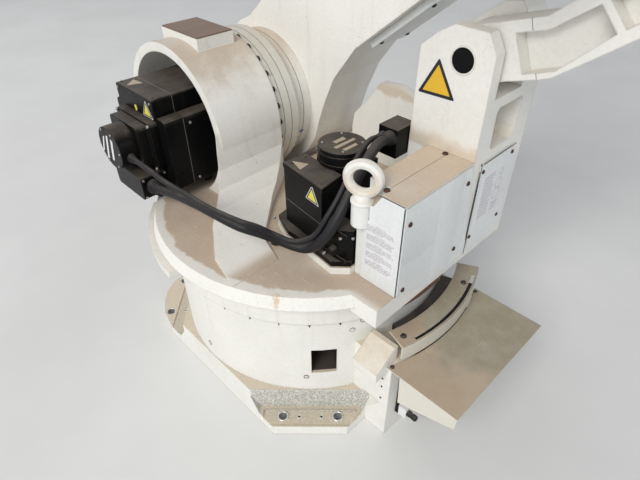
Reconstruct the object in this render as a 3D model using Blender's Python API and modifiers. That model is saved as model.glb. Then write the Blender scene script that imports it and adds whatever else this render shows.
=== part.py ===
"""Six-axis industrial robot arm on its floor base, parked with the arm laid back.

Metres, +Z up, +X forward, +Y to the robot's left. The origin is where axis 1
meets the floor. One object is built for each rigid piece. A table whose name
ends in SHARES gives an outline's points as shares, from 0 to 1, of the span
between two pairs of named limits.
"""
import math

import bmesh
import bpy
from mathutils import Matrix, Vector

for old in list(bpy.data.objects):
    bpy.data.objects.remove(old, do_unlink=True)

# Fits and fineness.
GAP = 0.0003            # between two pieces that touch
JOIN = 0.002            # how far united solids run into each other
OVER = 0.01             # how far a cutter runs past what it cuts
MERGE = 0.0001
STEPS_LARGE = 72
STEPS_MEDIUM = 36
STEPS_SMALL = 16
BEND = math.radians(35)

# Base casting.
WALL_RADIUS = 0.411
WALL_TOP = 0.385
FOOT_EDGE = 0.0014
FOOT_HALF = WALL_RADIUS + FOOT_EDGE
FOOT_HEIGHT = 0.115
CHAMFER_SHARES = [(1, 0.6426), (0.6426, 1)]
FRONT_LUG_SHARES = [(1, 0.437), (1.096, 0.546), (1.096, 0.667), (1.067, 0.727), (1.028, 0.8), (0.934, 0.885),
                    (0.812, 0.958), (0.6426, 1)]
WALL_THICK = 0.111
CAVITY_RADIUS = WALL_RADIUS - WALL_THICK
CAVITY_FLOOR = 0.030
LUG_FLOOR = 0.036
LUG_CLEAR = 0.0015
LUG_BACK = WALL_RADIUS + LUG_CLEAR    # from axis 1, along the diagonal
LUG_LOW_HALF = 0.146
LUG_HIGH_HALF = 0.190
LUG_RECESS_DEPTH = 0.004
LUG_RECESS_INSET = 0.012
LUG_RIM = 0.005
LUG_OUT = FOOT_HALF * (CHAMFER_SHARES[0][0] + CHAMFER_SHARES[0][1]) / math.sqrt(2)
BOLT_EDGE = 0.0345                 # in from the lug's outer face
BOLT_SPREAD = 0.0780               # each side of the lug's middle
FRONT_LUG_REACH = 0.0468           # how much further out the front bolts stand
FRONT_LUG_TURN = math.radians(-4.8)
BOLT_RADIUS = 0.0125
DOWEL_RADIUS = 0.0045
DOWEL_SPREAD = 0.0316
DOWEL_EDGE = 0.035
DOWEL_OUT = LUG_OUT - DOWEL_EDGE
NECK_LENGTH = 0.074
NECK_BACK = WALL_RADIUS + NECK_LENGTH
NECK_HALF = 0.190
WINDOW_ANGLE = math.radians(140.6)
WINDOW_WIDTH = 0.068
WINDOW_LOW = 0.190
WINDOW_HIGH = 0.282
WINDOW_DEPTH = 0.090
RAMP_SHARES = [(0, 0.263), (0, 1), (0.179, 1), (1, 0.342), (1, 0), (0.282, 0)]
RAMP_INNER = 0.158
RAMP_OUTER = 0.236
RAMP_LOW = 0.270
RAMP_TOP = 0.346
RAMP_DEPTH = 0.0685
RAMP_RISE = 0.0625
RAMP_BACK = WALL_RADIUS + RAMP_RISE

# Slew bearing and turning joint.
BEARING_INSET = 0.051
BEARING_RADIUS = WALL_RADIUS - BEARING_INSET
TURN_GAP = 0.015
COLUMN_UNDERSIDE = WALL_TOP + TURN_GAP

# Cable guard behind the base, lid and connectors.
GUARD_STAND = 0.041
GUARD_TRAY = 0.046
GUARD_SLOT = 0.010
GUARD_PLATE = 0.006
GUARD_IN = WALL_RADIUS + GUARD_STAND
GUARD_TRAY_OUT = GUARD_IN + GUARD_TRAY
GUARD_FLANGE_IN = GUARD_TRAY_OUT + GUARD_SLOT
GUARD_OUT = GUARD_FLANGE_IN + GUARD_PLATE
GUARD_TOP = 0.350
GUARD_LOW = 0.304
GUARD_END_LEFT = math.radians(162)
GUARD_END_RIGHT = math.radians(207)
GUARD_TAB = math.radians(5)
LID_TOP = 0.300
SHEET = 0.003
LID_CLEAR = 0.001
LID_ARC = GUARD_OUT + LID_CLEAR
LID_LENGTH = 0.165
LID_BACK = LID_ARC + LID_LENGTH
LID_HALF = 0.200
SKIRT_SHARES = [(1, 1), (0.976, 0), (0.866, 0.051), (0.256, 0.437), (0.012, 0.599), (0, 1)]
SKIRT_RIGHT_SHARES = [(1, 1), (0.976, 0.86), (0.012, 0.9), (0, 1)]
SKIRT_DEPTH = 0.0985
SKIRT_STEP = 0.001
SEAL_CLEAR = 0.005
SEAL_IN = WALL_RADIUS + SEAL_CLEAR
SEAL_HEIGHT = 0.024
PANEL_THICK = 0.010
PANEL_HALF = 0.150
PANEL_LOW = 0.070
PANEL_HIGH = 0.265
PLUG_DEPTH = 0.070
PLUG_WIDE = 0.075
PLUG_TALL = 0.100
PLUG_LEFT_Y = 0.085
PLUG_RIGHT_Y = -0.075
PLUG_Z = 0.150

# Column casting: turned plate.
PLATE_RISE = 0.125
PLATE_TOP = WALL_TOP + PLATE_RISE
PLATE_CLEAR = 0.0025
PLATE_BRIM = 0.047
PLATE_IN = WALL_RADIUS + PLATE_CLEAR
PLATE_OUT = WALL_RADIUS + PLATE_BRIM
PLATE_DROP = 0.119
PLATE_SHARES = [(0.742, 1), (1, 0.714), (0.292, 0.513), (0.169, 0), (0, 0)]
LIP_IN = WALL_RADIUS + SEAL_CLEAR * 2
LIP_WIDE = 0.063                   # from the wall to the lip's edge
LIP_LOW = 0.447
LIP_TOP = 0.470
LIP_FROM = math.radians(45)
LIP_TO = math.radians(87)
COLUMN_BACK = -0.4565
TAIL_FRONT = -0.250
TAIL_NEAR = 0.235
TAIL_FAR = -0.3005
TAIL_LOW = 0.4555
SHELF_SHARES = [(0, 1), (0.9, 1), (1, 0.872), (1, 0), (0, 0)]
SHELF_BACK = 0.200
SHELF_FRONT = 0.500
SHELF_IN = 0.005
SHELF_OUT = 0.200
SHELF_LOW = 0.440

# Axes, and the reach of the link and the upper arm.
AXIS_2_X = 0.350
AXIS_2_RISE = 0.165
AXIS_2_Z = PLATE_TOP + AXIS_2_RISE
LINK_LENGTH = 1.150
LINK_ANGLE = math.radians(140)     # of the link, from +X, as parked
ARM_ANGLE = math.radians(130)      # of the upper arm, from +X, as parked
ELBOW_OFFSET = 0.041
WRIST_REACH = 1.200
FLANGE_REACH = 0.215

# Column casting: hoop round the axis 2 motor.
HOOP_RADIUS = 0.230
HOOP_WALL = 0.025
HOOP_LENGTH = 0.205
WEB_THICK = 0.020
PAD_HALF = 0.087
PAD_NEAR = 0.147
PAD_FAR = 0.030
PAD_RISE = 0.246
PAD_SEAT = AXIS_2_Z + PAD_RISE
PAD_THICK = 0.003
PAD_INSET = 0.002
LEG_SHARES = [(1, 0), (1, 1), (0.853, 1), (0.804, 0.846), (0.783, 0.673), (0.766, 0.481), (0.717, 0.315),
              (0.62, 0.192), (0.484, 0.119), (0.293, 0.077), (0, 0.044), (0, 0)]
LEG_BACK = -0.168
LEG_INSET = 0.150
LEG_FRONT = AXIS_2_X - LEG_INSET
LEG_LOW = PLATE_TOP - OVER
LEG_RISE = 0.085
LEG_TOP = AXIS_2_Z + LEG_RISE
LEG_PLAN_SHARES = [(1, 0), (1, 0.498), (0.737, 0.498), (0.653, 0.583), (0.474, 0.789), (0.258, 0.934), (0, 1),
                   (0, 0.66), (0.163, 0.613), (0.258, 0.539), (0.474, 0.291), (0.684, 0)]
LEG_PLAN_INSET = 0.100
LEG_PLAN_FRONT = AXIS_2_X - LEG_PLAN_INSET
LEG_OUT = 0.412
ROOT_CLEAR = 0.258                 # swept for the link's root
ROOT_FAR = -0.370

# Raised seat of the axis 1 motor, and the motor's flange, which is a little smaller.
SEAT_SHARES = [(0, 0.885), (0.12, 1), (0.442, 0.964), (0.703, 0.962), (0.948, 0.86), (1, 0.573), (1, 0), (0, 0)]
SEAT_RISE = 0.020
SEAT_TOP = PLATE_TOP + SEAT_RISE
SEAT_BACK = -0.3315
SEAT_FRONT = -0.045
SEAT_FAR = -0.060
SEAT_NEAR = 0.219
SEAT_EDGE = 0.004
FLANGE_1_THICK = 0.015
FLANGE_1_TOP = SEAT_TOP + FLANGE_1_THICK

# Axis 1 motor.
MOTOR_1_X = -0.185
MOTOR_1_Y = 0.067
MOTOR_1_SHARES = [(0, 0), (0, 0.892), (0.092, 1), (0.908, 1), (1, 0.892), (1, 0)]
MOTOR_1_HALF = 0.060
MOTOR_1_FAR = 0.064
MOTOR_1_NEAR = 0.038
MOTOR_1_HEIGHT = 0.173
CAP_1_LOW = FLANGE_1_TOP + MOTOR_1_HEIGHT
CAP_1_HEIGHT = 0.042
CAP_1_RADIUS = 0.0585
BOX_1_SHARES = [(1, 0.779), (0, 1), (0.073, 0.14), (0.953, 0)]
BOX_1_BACK = -0.243
BOX_1_FRONT = -0.093
BOX_1_CLEAR = 0.003
BOX_1_DEPTH = 0.086
BOX_1_DROP = 0.0035
JUNCTION_SHARES = [(0, 0), (0, 0.571), (0.342, 1), (1, 0.939), (1, 0)]
JUNCTION_BACK = -0.328
JUNCTION_FRONT = -0.252
JUNCTION_FAR = 0.150
JUNCTION_NEAR = 0.199
JUNCTION_HEIGHT = 0.087
GROMMET_X = -0.113
GROMMET_Y = 0.229
GROMMET_RADIUS = 0.0165
GROMMET_BORE = 0.0095
GROMMET_HEIGHT = 0.007

# Axis 2 gear, motor and its boxes: sizes to each side of the axis.
GEAR_RADIUS = 0.220
GEAR_FAR = -0.080
HUB_RADIUS = 0.200
HUB_DEPTH = 0.070
LINK_NEAR = GEAR_FAR - HUB_DEPTH
LINK_THICK = 0.200
LINK_FAR = LINK_NEAR - LINK_THICK
RUNNING_GAP = 0.0006
MOTOR_2_HALF = 0.130
MOTOR_2_BELOW = 0.130
MOTOR_2_ABOVE = 0.080
MOTOR_2_CORNER = 0.016
MOTOR_2_SEAM = 0.250
MOTOR_2_SHELL = 0.055
MOTOR_2_NEAR = MOTOR_2_SEAM + MOTOR_2_SHELL
BOX_2_HALF = 0.094
BOX_2_HEIGHT = 0.052
BOX_2_FAR = 0.115
BOX_2_NEAR = 0.312
ENCODER_FLANGE_HALF = 0.090
ENCODER_HALF = 0.075
ENCODER_FLANGE_THICK = 0.025
ENCODER_FLANGE_NEAR = MOTOR_2_NEAR + ENCODER_FLANGE_THICK
ENCODER_DEPTH = 0.030
ENCODER_NEAR = ENCODER_FLANGE_NEAR + ENCODER_DEPTH
ENCODER_FLANGE_TALL = 0.070
ENCODER_TALL = 0.063
CAP_2_RADIUS = 0.060
CAP_2_DEPTH = 0.050
PLUG_2_BACK = 0.080
PLUG_2_FRONT = 0.070
PLUG_2_LOW = 0.145
PLUG_2_HIGH = 0.075
PLUG_2_DEPTH = 0.080
RING_2_BACK = 0.088
RING_2_Y = 0.180
RING_2_MAJOR = 0.013
RING_2_MINOR = 0.003

# Column box, its covers and the eye bolt.
BOX_FRONT = -0.3323
BOX_NEAR = 0.1720
BOX_FAR = -0.0747
BOX_HEIGHT = 0.247
BOX_TOP = PLATE_TOP + BOX_HEIGHT
NOTCH_X = -0.395
NOTCH_Y = 0.135
NOTCH_DEPTH = 0.035
NOTCH_Z = BOX_TOP - NOTCH_DEPTH
COVER_THICK = 0.003
COVER_EDGE = 0.0005
COVER_REVEAL = 0.0015
SIDE_COVER_SHARES = [(1, 0), (0, 0), (0, 1), (0.55, 1), (0.751, 0.865), (0.842, 0.857), (0.842, 0.602), (1, 0.602)]
SIDE_COVER_FRONT = -0.352
REAR_COVER_SHARES = [(1, 1), (0.157, 1), (0.135, 0.937), (0.018, 0.185), (0, 0.045), (0.3, 0.024), (0.562, 0),
                     (0.801, 0.112), (1, 0.17)]
REAR_COVER_FAR = -0.110
REAR_COVER_LOW = 0.467
REAR_COVER_DROP = 0.004
EYE_X = -0.343
EYE_Y = 0.170
BOSS_RADIUS = 0.024
BOSS_HEIGHT = 0.062
EYE_RISE = 0.052
EYE_Z = NOTCH_Z + EYE_RISE
EYE_MAJOR = 0.0345
EYE_MINOR = 0.0115
EYE_TURN = math.radians(115)
SHANK_RADIUS = 0.014
SHANK_FOOT_RADIUS = 0.019

# Tower, its cover, the pin and the rear beam.
TOWER_STEP = 0.0006
TOWER_NEAR = BOX_FAR - TOWER_STEP
TOWER_FAR = -0.3000
TOWER_SHARES = [(1, 0), (0, 0), (0, 0.923), (0.126, 0.998), (0.55, 1), (0.741, 0.961), (0.978, 0.889)]
TOWER_FRONT = -0.272
TOWER_HEIGHT = 0.523
TOWER_TOP = PLATE_TOP + TOWER_HEIGHT
FAR_PLATE_SHARES = [(1, 0), (0, 0), (0, 0.382), (0.144, 0.859), (0.214, 1), (0.438, 0.947), (0.799, 0.464),
                    (0.978, 0.222)]
FAR_PLATE_DROP = 0.083
FAR_PLATE_RISE = 0.0297
CLEVIS_NEAR = -0.108
CLEVIS_FAR = -0.220
CLEVIS_DROP = 0.140
PIN_BACK = 0.072
PIN_X = COLUMN_BACK + PIN_BACK
PIN_DROP = 0.066
PIN_Z = TOWER_TOP - PIN_DROP
PIN_RADIUS = 0.0260
PIN_FAR = -0.250
SLOT_SHARES = [(1, 0.902), (0.929, 1), (0.063, 1), (0, 0.912), (0.036, 0.206), (0.196, 0), (0.875, 0), (0.982, 0.078)]
SLOT_NEAR = -0.131
SLOT_FAR = -0.243
SLOT_LOW = 0.765
SLOT_HIGH = 0.867
SLOT_DEPTH = 0.070
TOWER_COVER_SHARES = [(1, 0.992), (0.206, 1), (0, 0.857), (0, 0.085), (0.246, 0), (0.92, 0), (0.949, 0.162)]
TOWER_COVER_NEAR = -0.108
TOWER_COVER_FAR = -0.283
TOWER_COVER_LOW = 0.478
TOWER_COVER_HIGH = 0.737
BEAM_NEAR = -0.118
BEAM_FAR = -0.212
BEAM_SHARES = [(0.994, 0.092), (1, 0.211), (0.956, 0.304), (0.81, 0.363), (0.64, 0.435), (0.567, 0.52),
               (0.179, 0.956), (0.122, 1), (0.065, 0.993), (0.019, 0.94), (0, 0.858), (0.019, 0.779), (0.046, 0.736),
               (0.336, 0.414), (0.573, 0.151), (0.611, 0.13), (0.747, 0.071), (0.865, 0), (0.956, 0.018)]
BEAM_BEHIND = 0.4695               # the beam's reach behind its pin
BEAM_AHEAD = 0.0555
BEAM_UNDER = 0.062
BEAM_ABOVE = 0.3168
BEAM_EYE_SHARES = (0.105, 0.858)
BEAM_EYE_RADIUS = 0.020
BEAM_POCKET_SHARES = [[(0.743, 0.326), (0.623, 0.374), (0.479, 0.522), (0.405, 0.414), (0.567, 0.191), (0.684, 0.132)],
                      [(0.456, 0.546), (0.382, 0.44), (0.217, 0.626), (0.293, 0.729)]]
BEAM_POCKET_DEPTH = 0.036
SIDE_WALL_SHARES = [(0, 0), (0, 0.84), (0.372, 0.939), (0.513, 1), (0.71, 0.977), (0.862, 0.687), (0.98, 0.515),
                    (1, 0.343), (1, 0)]
SIDE_WALL_BACK = -0.270
SIDE_WALL_FRONT = 0.085
SIDE_WALL_HEIGHT = 0.262
SIDE_WALL_THICK = 0.030
CLAMP_BACK = TOWER_FRONT + GAP
CLAMP_FRONT = -0.2150
CLAMP_LOW = 0.712
CLAMP_HIGH = 0.786
CLAMP_NEAR = -0.030
CLAMP_FAR = -0.100

# Cable band under the column's tail.
BAND_CLEAR = 0.0165
BAND_THICK = 0.007
BAND_IN = WALL_RADIUS + BAND_CLEAR
BAND_OUT = BAND_IN + BAND_THICK
BAND_LOW = 0.396
BAND_TOP = 0.4515
BAND_FROM = math.radians(158)
BAND_TO = math.radians(215)

# Cables: centre lines.
POWER_RADIUS = 0.0125
POWER_PATH = [(0.2692, 0.352, 0.566), (0.248, 0.352, 0.566), (0.2224, 0.354, 0.574), (0.165, 0.350, 0.5864),
              (0.098, 0.350, 0.600), (0.030, 0.350, 0.612), (-0.036, 0.350, 0.6207), (-0.1157, 0.340, 0.622),
              (-0.1498, 0.308, 0.6034), (-0.172, 0.275, 0.578), (-0.2086, 0.250, 0.5631), (-0.2448, 0.236, 0.5700),
              (-0.284, 0.228, 0.6150), (-0.300, 0.204, 0.664), (-0.297, 0.160, 0.710), (-0.285, 0.110, 0.745),
              (-0.268, 0.050, 0.768), (-0.258, 0.016, 0.769), (-0.254, -0.008, 0.764), (-0.254, -0.0290, 0.7635)]
SIGNAL_RADIUS = 0.007
SIGNAL_PATH = [(0.2895, 0.385, 0.660), (0.272, 0.385, 0.660), (0.240, 0.387, 0.663), (0.190, 0.383, 0.658),
               (0.142, 0.375, 0.644), (0.0524, 0.362, 0.6357), (-0.045, 0.362, 0.6450), (-0.1328, 0.350, 0.650),
               (-0.162, 0.322, 0.634), (-0.180, 0.290, 0.605), (-0.220, 0.262, 0.590), (-0.258, 0.234, 0.612),
               (-0.274, 0.205, 0.662), (-0.275, 0.165, 0.705), (-0.262, 0.115, 0.745), (-0.247, 0.062, 0.768),
               (-0.234, 0.022, 0.769), (-0.232, -0.010, 0.7645), (-0.232, -0.0290, 0.764)]
CABLE_FINE = 3

# Link arm: shares of its length and of its elbow's radius, to its front and its rear.
LINK_ELBOW_RADIUS = 0.172
LINK_ROOT_RADIUS = 0.235
LINK_FRONT_SHARES = [(0.148, 1.267), (0.348, 1.163), (0.87, 1), (0.957, 1)]
LINK_REAR_SHARES = [(0.957, -0.93), (0.87, -0.872), (0.739, -0.669), (0.583, -0.465), (0.369, -0.419),
                    (0.261, -0.581), (0.183, -0.837)]
LINK_COVER_SHARES = (0.391, 0.826)
LINK_COVER_HALF = 0.068
LINK_COVER_THICK = 0.018

# Elbow housing and upper arm, along and across it.
ELBOW_SHARES = [(0, 0.129), (0.129, 0.014), (0.742, 0), (1, 0.114), (1, 0.943), (0.742, 1), (0.161, 1), (0, 0.871)]
ELBOW_BEHIND = 0.110
ELBOW_AHEAD = 0.200
ELBOW_UNDER = 0.165
ELBOW_OVER = 0.185
ELBOW_NEAR = 0.135
MOTOR_3_RADIUS = 0.072
MOTOR_3_LENGTH = 0.195
WRIST_MOTOR_RADIUS = 0.048
WRIST_MOTOR_LENGTH = 0.075
WRIST_MOTOR_OUT = 0.075
WRIST_MOTOR_SIDE = 0.065
WRIST_MOTOR_SHARES = [(1, -1), (1, 1), (-0.667, 0)]
ARM_ROOT_RADIUS = 0.118
ARM_TIP_RADIUS = 0.084
BEND_RADIUS = 0.078
WRIST_HOUSING_LENGTH = 0.1217
WRIST_HOUSING_TO = WRIST_REACH - BEND_RADIUS - GAP
ARM_TO = WRIST_HOUSING_TO - WRIST_HOUSING_LENGTH
WRIST_HOUSING_RADIUS = 0.095
BEND_HALF = 0.066
FLANGE_RADIUS = 0.0625
FLANGE_THICK = 0.012
NOSE_RADIUS = 0.058

parts = bpy.data.collections.new("industrial_robot_arm")
cutters = bpy.data.collections.new("cutters")
pivots = bpy.data.collections.new("pivots")
for group in (parts, cutters, pivots):
    bpy.context.scene.collection.children.link(group)


def paint(name, colour, metallic, roughness):
    material = bpy.data.materials.new(name)
    material.use_nodes = True
    shader = material.node_tree.nodes["Principled BSDF"]
    shader.inputs["Base Color"].default_value = (*colour, 1.0)
    shader.inputs["Metallic"].default_value = metallic
    shader.inputs["Roughness"].default_value = roughness
    material.diffuse_color = (*colour, 1.0)
    return material


WHITE = ((0.80, 0.79, 0.74), 0.0, 0.45)
GREIGE = ((0.52, 0.49, 0.42), 0.0, 0.50)
BLACK = ((0.02, 0.02, 0.022), 0.0, 0.40)
RUBBER = ((0.03, 0.03, 0.032), 0.0, 0.60)
RUST = ((0.20, 0.09, 0.05), 0.4, 0.70)
STEEL = ((0.35, 0.34, 0.32), 0.9, 0.45)


def placed(name, mesh, look):
    """An object for the mesh in the parts collection, with its own material."""
    thing = bpy.data.objects.new(name, mesh)
    if look is None:
        cutters.objects.link(thing)
        thing.hide_render = True
        thing.display_type = "WIRE"
    else:
        parts.objects.link(thing)
        mesh.materials.clear()
        mesh.materials.append(paint(name, *look))
    return thing


def finish_mesh(bm, name):
    bmesh.ops.remove_doubles(bm, verts=bm.verts, dist=MERGE)
    bmesh.ops.recalc_face_normals(bm, faces=bm.faces)
    mesh = bpy.data.meshes.new(name)
    bm.to_mesh(mesh)
    bm.free()
    for face in mesh.polygons:
        face.use_smooth = True
    mesh.set_sharp_from_angle(angle=BEND)
    return mesh


def block(name, look, x, y, z):
    """A box between pairs of limits."""
    bm = bmesh.new()
    size = Matrix.Diagonal((x[1] - x[0], y[1] - y[0], z[1] - z[0], 1.0))
    middle = Vector(((x[0] + x[1]) / 2, (y[0] + y[1]) / 2, (z[0] + z[1]) / 2))
    bmesh.ops.create_cube(bm, size=1.0, matrix=Matrix.Translation(middle) @ size)
    return placed(name, finish_mesh(bm, name), look)


def drum(name, look, start, end, radius, end_radius=None, steps=STEPS_MEDIUM):
    """A round bar or cone between two points."""
    a, b = Vector(start), Vector(end)
    turn = (b - a).to_track_quat("Z", "Y").to_matrix().to_4x4()
    bm = bmesh.new()
    bmesh.ops.create_cone(bm, cap_ends=True, segments=steps, radius1=radius, depth=(b - a).length,
                          radius2=radius if end_radius is None else end_radius,
                          matrix=Matrix.Translation((a + b) / 2) @ turn)
    return placed(name, finish_mesh(bm, name), look)


TO_WORLD = {"Z": Matrix.Identity(4),
            "Y": Matrix(((1, 0, 0, 0), (0, 0, -1, 0), (0, 1, 0, 0), (0, 0, 0, 1))),
            "X": Matrix(((0, 0, 1, 0), (1, 0, 0, 0), (0, 1, 0, 0), (0, 0, 0, 1)))}


def slab(name, look, outline, axis, low, high):
    """A plate with a drawn outline, thick from low to high along the axis."""
    curve = bpy.data.curves.new(name, "CURVE")
    curve.dimensions = "2D"
    curve.fill_mode = "BOTH"
    curve.extrude = (high - low) / 2
    spline = curve.splines.new("POLY")
    spline.points.add(len(outline) - 1)
    for point, (u, v) in zip(spline.points, outline):
        point.co = (u, v, 0, 1)
    spline.use_cyclic_u = True
    drawn = bpy.data.objects.new(name + "_outline", curve)
    cutters.objects.link(drawn)
    bpy.context.view_layer.update()
    mesh = bpy.data.meshes.new_from_object(drawn.evaluated_get(bpy.context.evaluated_depsgraph_get()))
    bpy.data.objects.remove(drawn, do_unlink=True)
    bm = bmesh.new()
    bm.from_mesh(mesh)
    middle = (low + high) / 2 * (-1 if axis == "Y" else 1)
    bm.transform(TO_WORLD[axis] @ Matrix.Translation((0, 0, middle)))
    return placed(name, finish_mesh(bm, name), look)


def turned(name, look, profile, steps=STEPS_LARGE):
    """A solid of revolution about the Z axis; the profile runs down its outer side."""
    mesh = bpy.data.meshes.new(name)
    points = [(r, 0, z) for r, z in profile]
    mesh.from_pydata(points, [(i, i + 1) for i in range(len(points) - 1)], [])
    drawn = bpy.data.objects.new(name + "_profile", mesh)
    cutters.objects.link(drawn)
    spin = drawn.modifiers.new("spin", "SCREW")
    spin.axis = "Z"
    spin.steps = spin.render_steps = steps
    spin.use_merge_vertices = True
    spin.merge_threshold = MERGE
    bpy.context.view_layer.update()
    shape = bpy.data.meshes.new_from_object(drawn.evaluated_get(bpy.context.evaluated_depsgraph_get()))
    bpy.data.objects.remove(drawn, do_unlink=True)
    bm = bmesh.new()
    bm.from_mesh(shape)
    bmesh.ops.remove_doubles(bm, verts=bm.verts, dist=MERGE)
    return placed(name, finish_mesh(bm, name), look)


def sector(name, look, inner, outer, low, high, start, end, steps=STEPS_SMALL):
    """A ring's piece between two angles."""
    outline = []
    for radius, turns in ((outer, range(steps + 1)), (inner, range(steps, -1, -1))):
        outline += [(radius * math.cos(start + (end - start) * i / steps),
                     radius * math.sin(start + (end - start) * i / steps)) for i in turns]
    return slab(name, look, outline, "Z", low, high)


def smooth_path(points, fine):
    """A Catmull-Rom curve through the points."""
    pts = [Vector(p) for p in points]
    pts = [pts[0] * 2 - pts[1]] + pts + [pts[-1] * 2 - pts[-2]]
    out = []
    for a, b, c, d in zip(pts, pts[1:], pts[2:], pts[3:]):
        for i in range(fine):
            t = i / fine
            out.append((2 * b + (c - a) * t + (2 * a - 5 * b + 4 * c - d) * t ** 2
                        + (3 * b - a - 3 * c + d) * t ** 3) / 2)
    return out + [pts[-2]]


def tube(name, look, points, radius, fine=CABLE_FINE, closed=False):
    """A round bar along a curve."""
    curve = bpy.data.curves.new(name, "CURVE")
    curve.dimensions = "3D"
    curve.bevel_depth = radius
    curve.bevel_resolution = 2
    curve.use_fill_caps = not closed
    path = points if closed else smooth_path(points, fine)
    spline = curve.splines.new("POLY")
    spline.points.add(len(path) - 1)
    for point, place in zip(spline.points, path):
        point.co = (*place, 1)
    spline.use_cyclic_u = closed
    drawn = bpy.data.objects.new(name + "_path", curve)
    cutters.objects.link(drawn)
    bpy.context.view_layer.update()
    mesh = bpy.data.meshes.new_from_object(drawn.evaluated_get(bpy.context.evaluated_depsgraph_get()))
    bpy.data.objects.remove(drawn, do_unlink=True)
    bm = bmesh.new()
    bm.from_mesh(mesh)
    return placed(name, finish_mesh(bm, name), look)


def ring(name, look, centre, major, minor, normal, steps=STEPS_MEDIUM):
    """A round ring."""
    side = normal.orthogonal().normalized()
    up = normal.cross(side).normalized()
    path = [centre + side * (major * math.cos(2 * math.pi * i / steps)) +
            up * (major * math.sin(2 * math.pi * i / steps)) for i in range(steps)]
    return tube(name, look, path, minor, closed=True)


def boolean(target, other, operation):
    step = target.modifiers.new(other.name, "BOOLEAN")
    step.operation = operation
    step.solver = "EXACT"
    step.object = other


def cut(target, other):
    boolean(target, other, "DIFFERENCE")


def unite(target, other):
    boolean(target, other, "UNION")


def keep(target, other):
    boolean(target, other, "INTERSECT")


def within(shares, across, up):
    """The points that the shares give between two pairs of limits."""
    return [(across[0] + (across[1] - across[0]) * a, up[0] + (up[1] - up[0]) * b) for a, b in shares]


def turned_outline(outline, angle):
    """An outline turned about the origin."""
    c, s = math.cos(angle), math.sin(angle)
    return [(u * c - v * s, u * s + v * c) for u, v in outline]


# Base casting: chamfered foot, round wall, neck at the back and four lugs.
front_right_shares = [(b, a) for a, b in reversed(FRONT_LUG_SHARES)]
foot = []
for quarter, corner in enumerate((FRONT_LUG_SHARES, CHAMFER_SHARES, CHAMFER_SHARES, front_right_shares)):
    foot += turned_outline([(FOOT_HALF * a, FOOT_HALF * b) for a, b in corner], quarter * math.pi / 2)
base_frame = slab("base_frame", WHITE, foot, "Z", 0, FOOT_HEIGHT)
unite(base_frame, drum("base_wall", None, (0, 0, FOOT_HEIGHT - JOIN), (0, 0, WALL_TOP), WALL_RADIUS,
                       steps=STEPS_LARGE))
unite(base_frame, block("base_neck", None, (-NECK_BACK, -CAVITY_RADIUS), (-NECK_HALF, NECK_HALF),
                        (0, LID_TOP - SHEET - GAP)))
unite(base_frame, slab("base_ramp", None, within(RAMP_SHARES, (RAMP_INNER, RAMP_OUTER), (RAMP_LOW, RAMP_TOP)),
                       "X", -RAMP_BACK, -RAMP_BACK + RAMP_DEPTH + OVER))
cut(base_frame, drum("base_cavity", None, (0, 0, CAVITY_FLOOR), (0, 0, WALL_TOP + OVER), CAVITY_RADIUS,
                     steps=STEPS_LARGE))
for quarter in range(4):
    angle = math.pi * (quarter + 1 / 2) / 2
    out = FOOT_HALF * 2
    lug = [(-LUG_LOW_HALF, LUG_FLOOR), (-LUG_HIGH_HALF, FOOT_HEIGHT + OVER),
           (LUG_HIGH_HALF, FOOT_HEIGHT + OVER), (LUG_LOW_HALF, LUG_FLOOR)]
    pocket = slab(f"lug_pocket_{quarter}", None, lug, "X", LUG_BACK, out)
    pocket.matrix_world = Matrix.Rotation(angle, 4, "Z")
    cut(base_frame, pocket)
    inset = LUG_LOW_HALF - LUG_RECESS_INSET
    recess = block(f"lug_recess_{quarter}", None, (LUG_BACK + LUG_RECESS_INSET, LUG_OUT - LUG_RIM), (-inset, inset),
                   (LUG_FLOOR - LUG_RECESS_DEPTH, LUG_FLOOR + OVER))
    recess.matrix_world = Matrix.Rotation(angle, 4, "Z")
    cut(base_frame, recess)
    reach = LUG_OUT - BOLT_EDGE + (FRONT_LUG_REACH if quarter in (0, 3) else 0)
    turn = angle + {0: FRONT_LUG_TURN, 3: -FRONT_LUG_TURN}.get(quarter, 0)
    for side, name in ((1, "a"), (-1, "b")):
        place = (Vector((math.cos(turn), math.sin(turn), 0)) * reach
                 + Vector((-math.sin(turn), math.cos(turn), 0)) * (BOLT_SPREAD * side))
        below = Vector((0, 0, -OVER))
        above = Vector((0, 0, LUG_FLOOR + OVER))
        cut(base_frame, drum(f"foot_bolt_hole_{quarter}{name}", None, place + below, place + above,
                             BOLT_RADIUS, steps=STEPS_SMALL))
        across = Vector((-math.sin(angle), math.cos(angle), 0)) * (DOWEL_SPREAD * side)
        place = Vector((DOWEL_OUT * math.cos(angle), DOWEL_OUT * math.sin(angle), 0)) + across
        cut(base_frame, drum(f"dowel_hole_{quarter}{name}", None, place + below, place + above,
                             DOWEL_RADIUS, steps=STEPS_SMALL))
window = block("base_window", None, (WALL_RADIUS - WINDOW_DEPTH, WALL_RADIUS + OVER),
               (-WINDOW_WIDTH / 2, WINDOW_WIDTH / 2), (WINDOW_LOW, WINDOW_HIGH))
window.matrix_world = Matrix.Rotation(WINDOW_ANGLE, 4, "Z")
cut(base_frame, window)

slew_bearing = drum("slew_bearing", STEEL, (0, 0, WALL_TOP + GAP), (0, 0, COLUMN_UNDERSIDE - GAP),
                    BEARING_RADIUS, steps=STEPS_LARGE)

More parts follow.
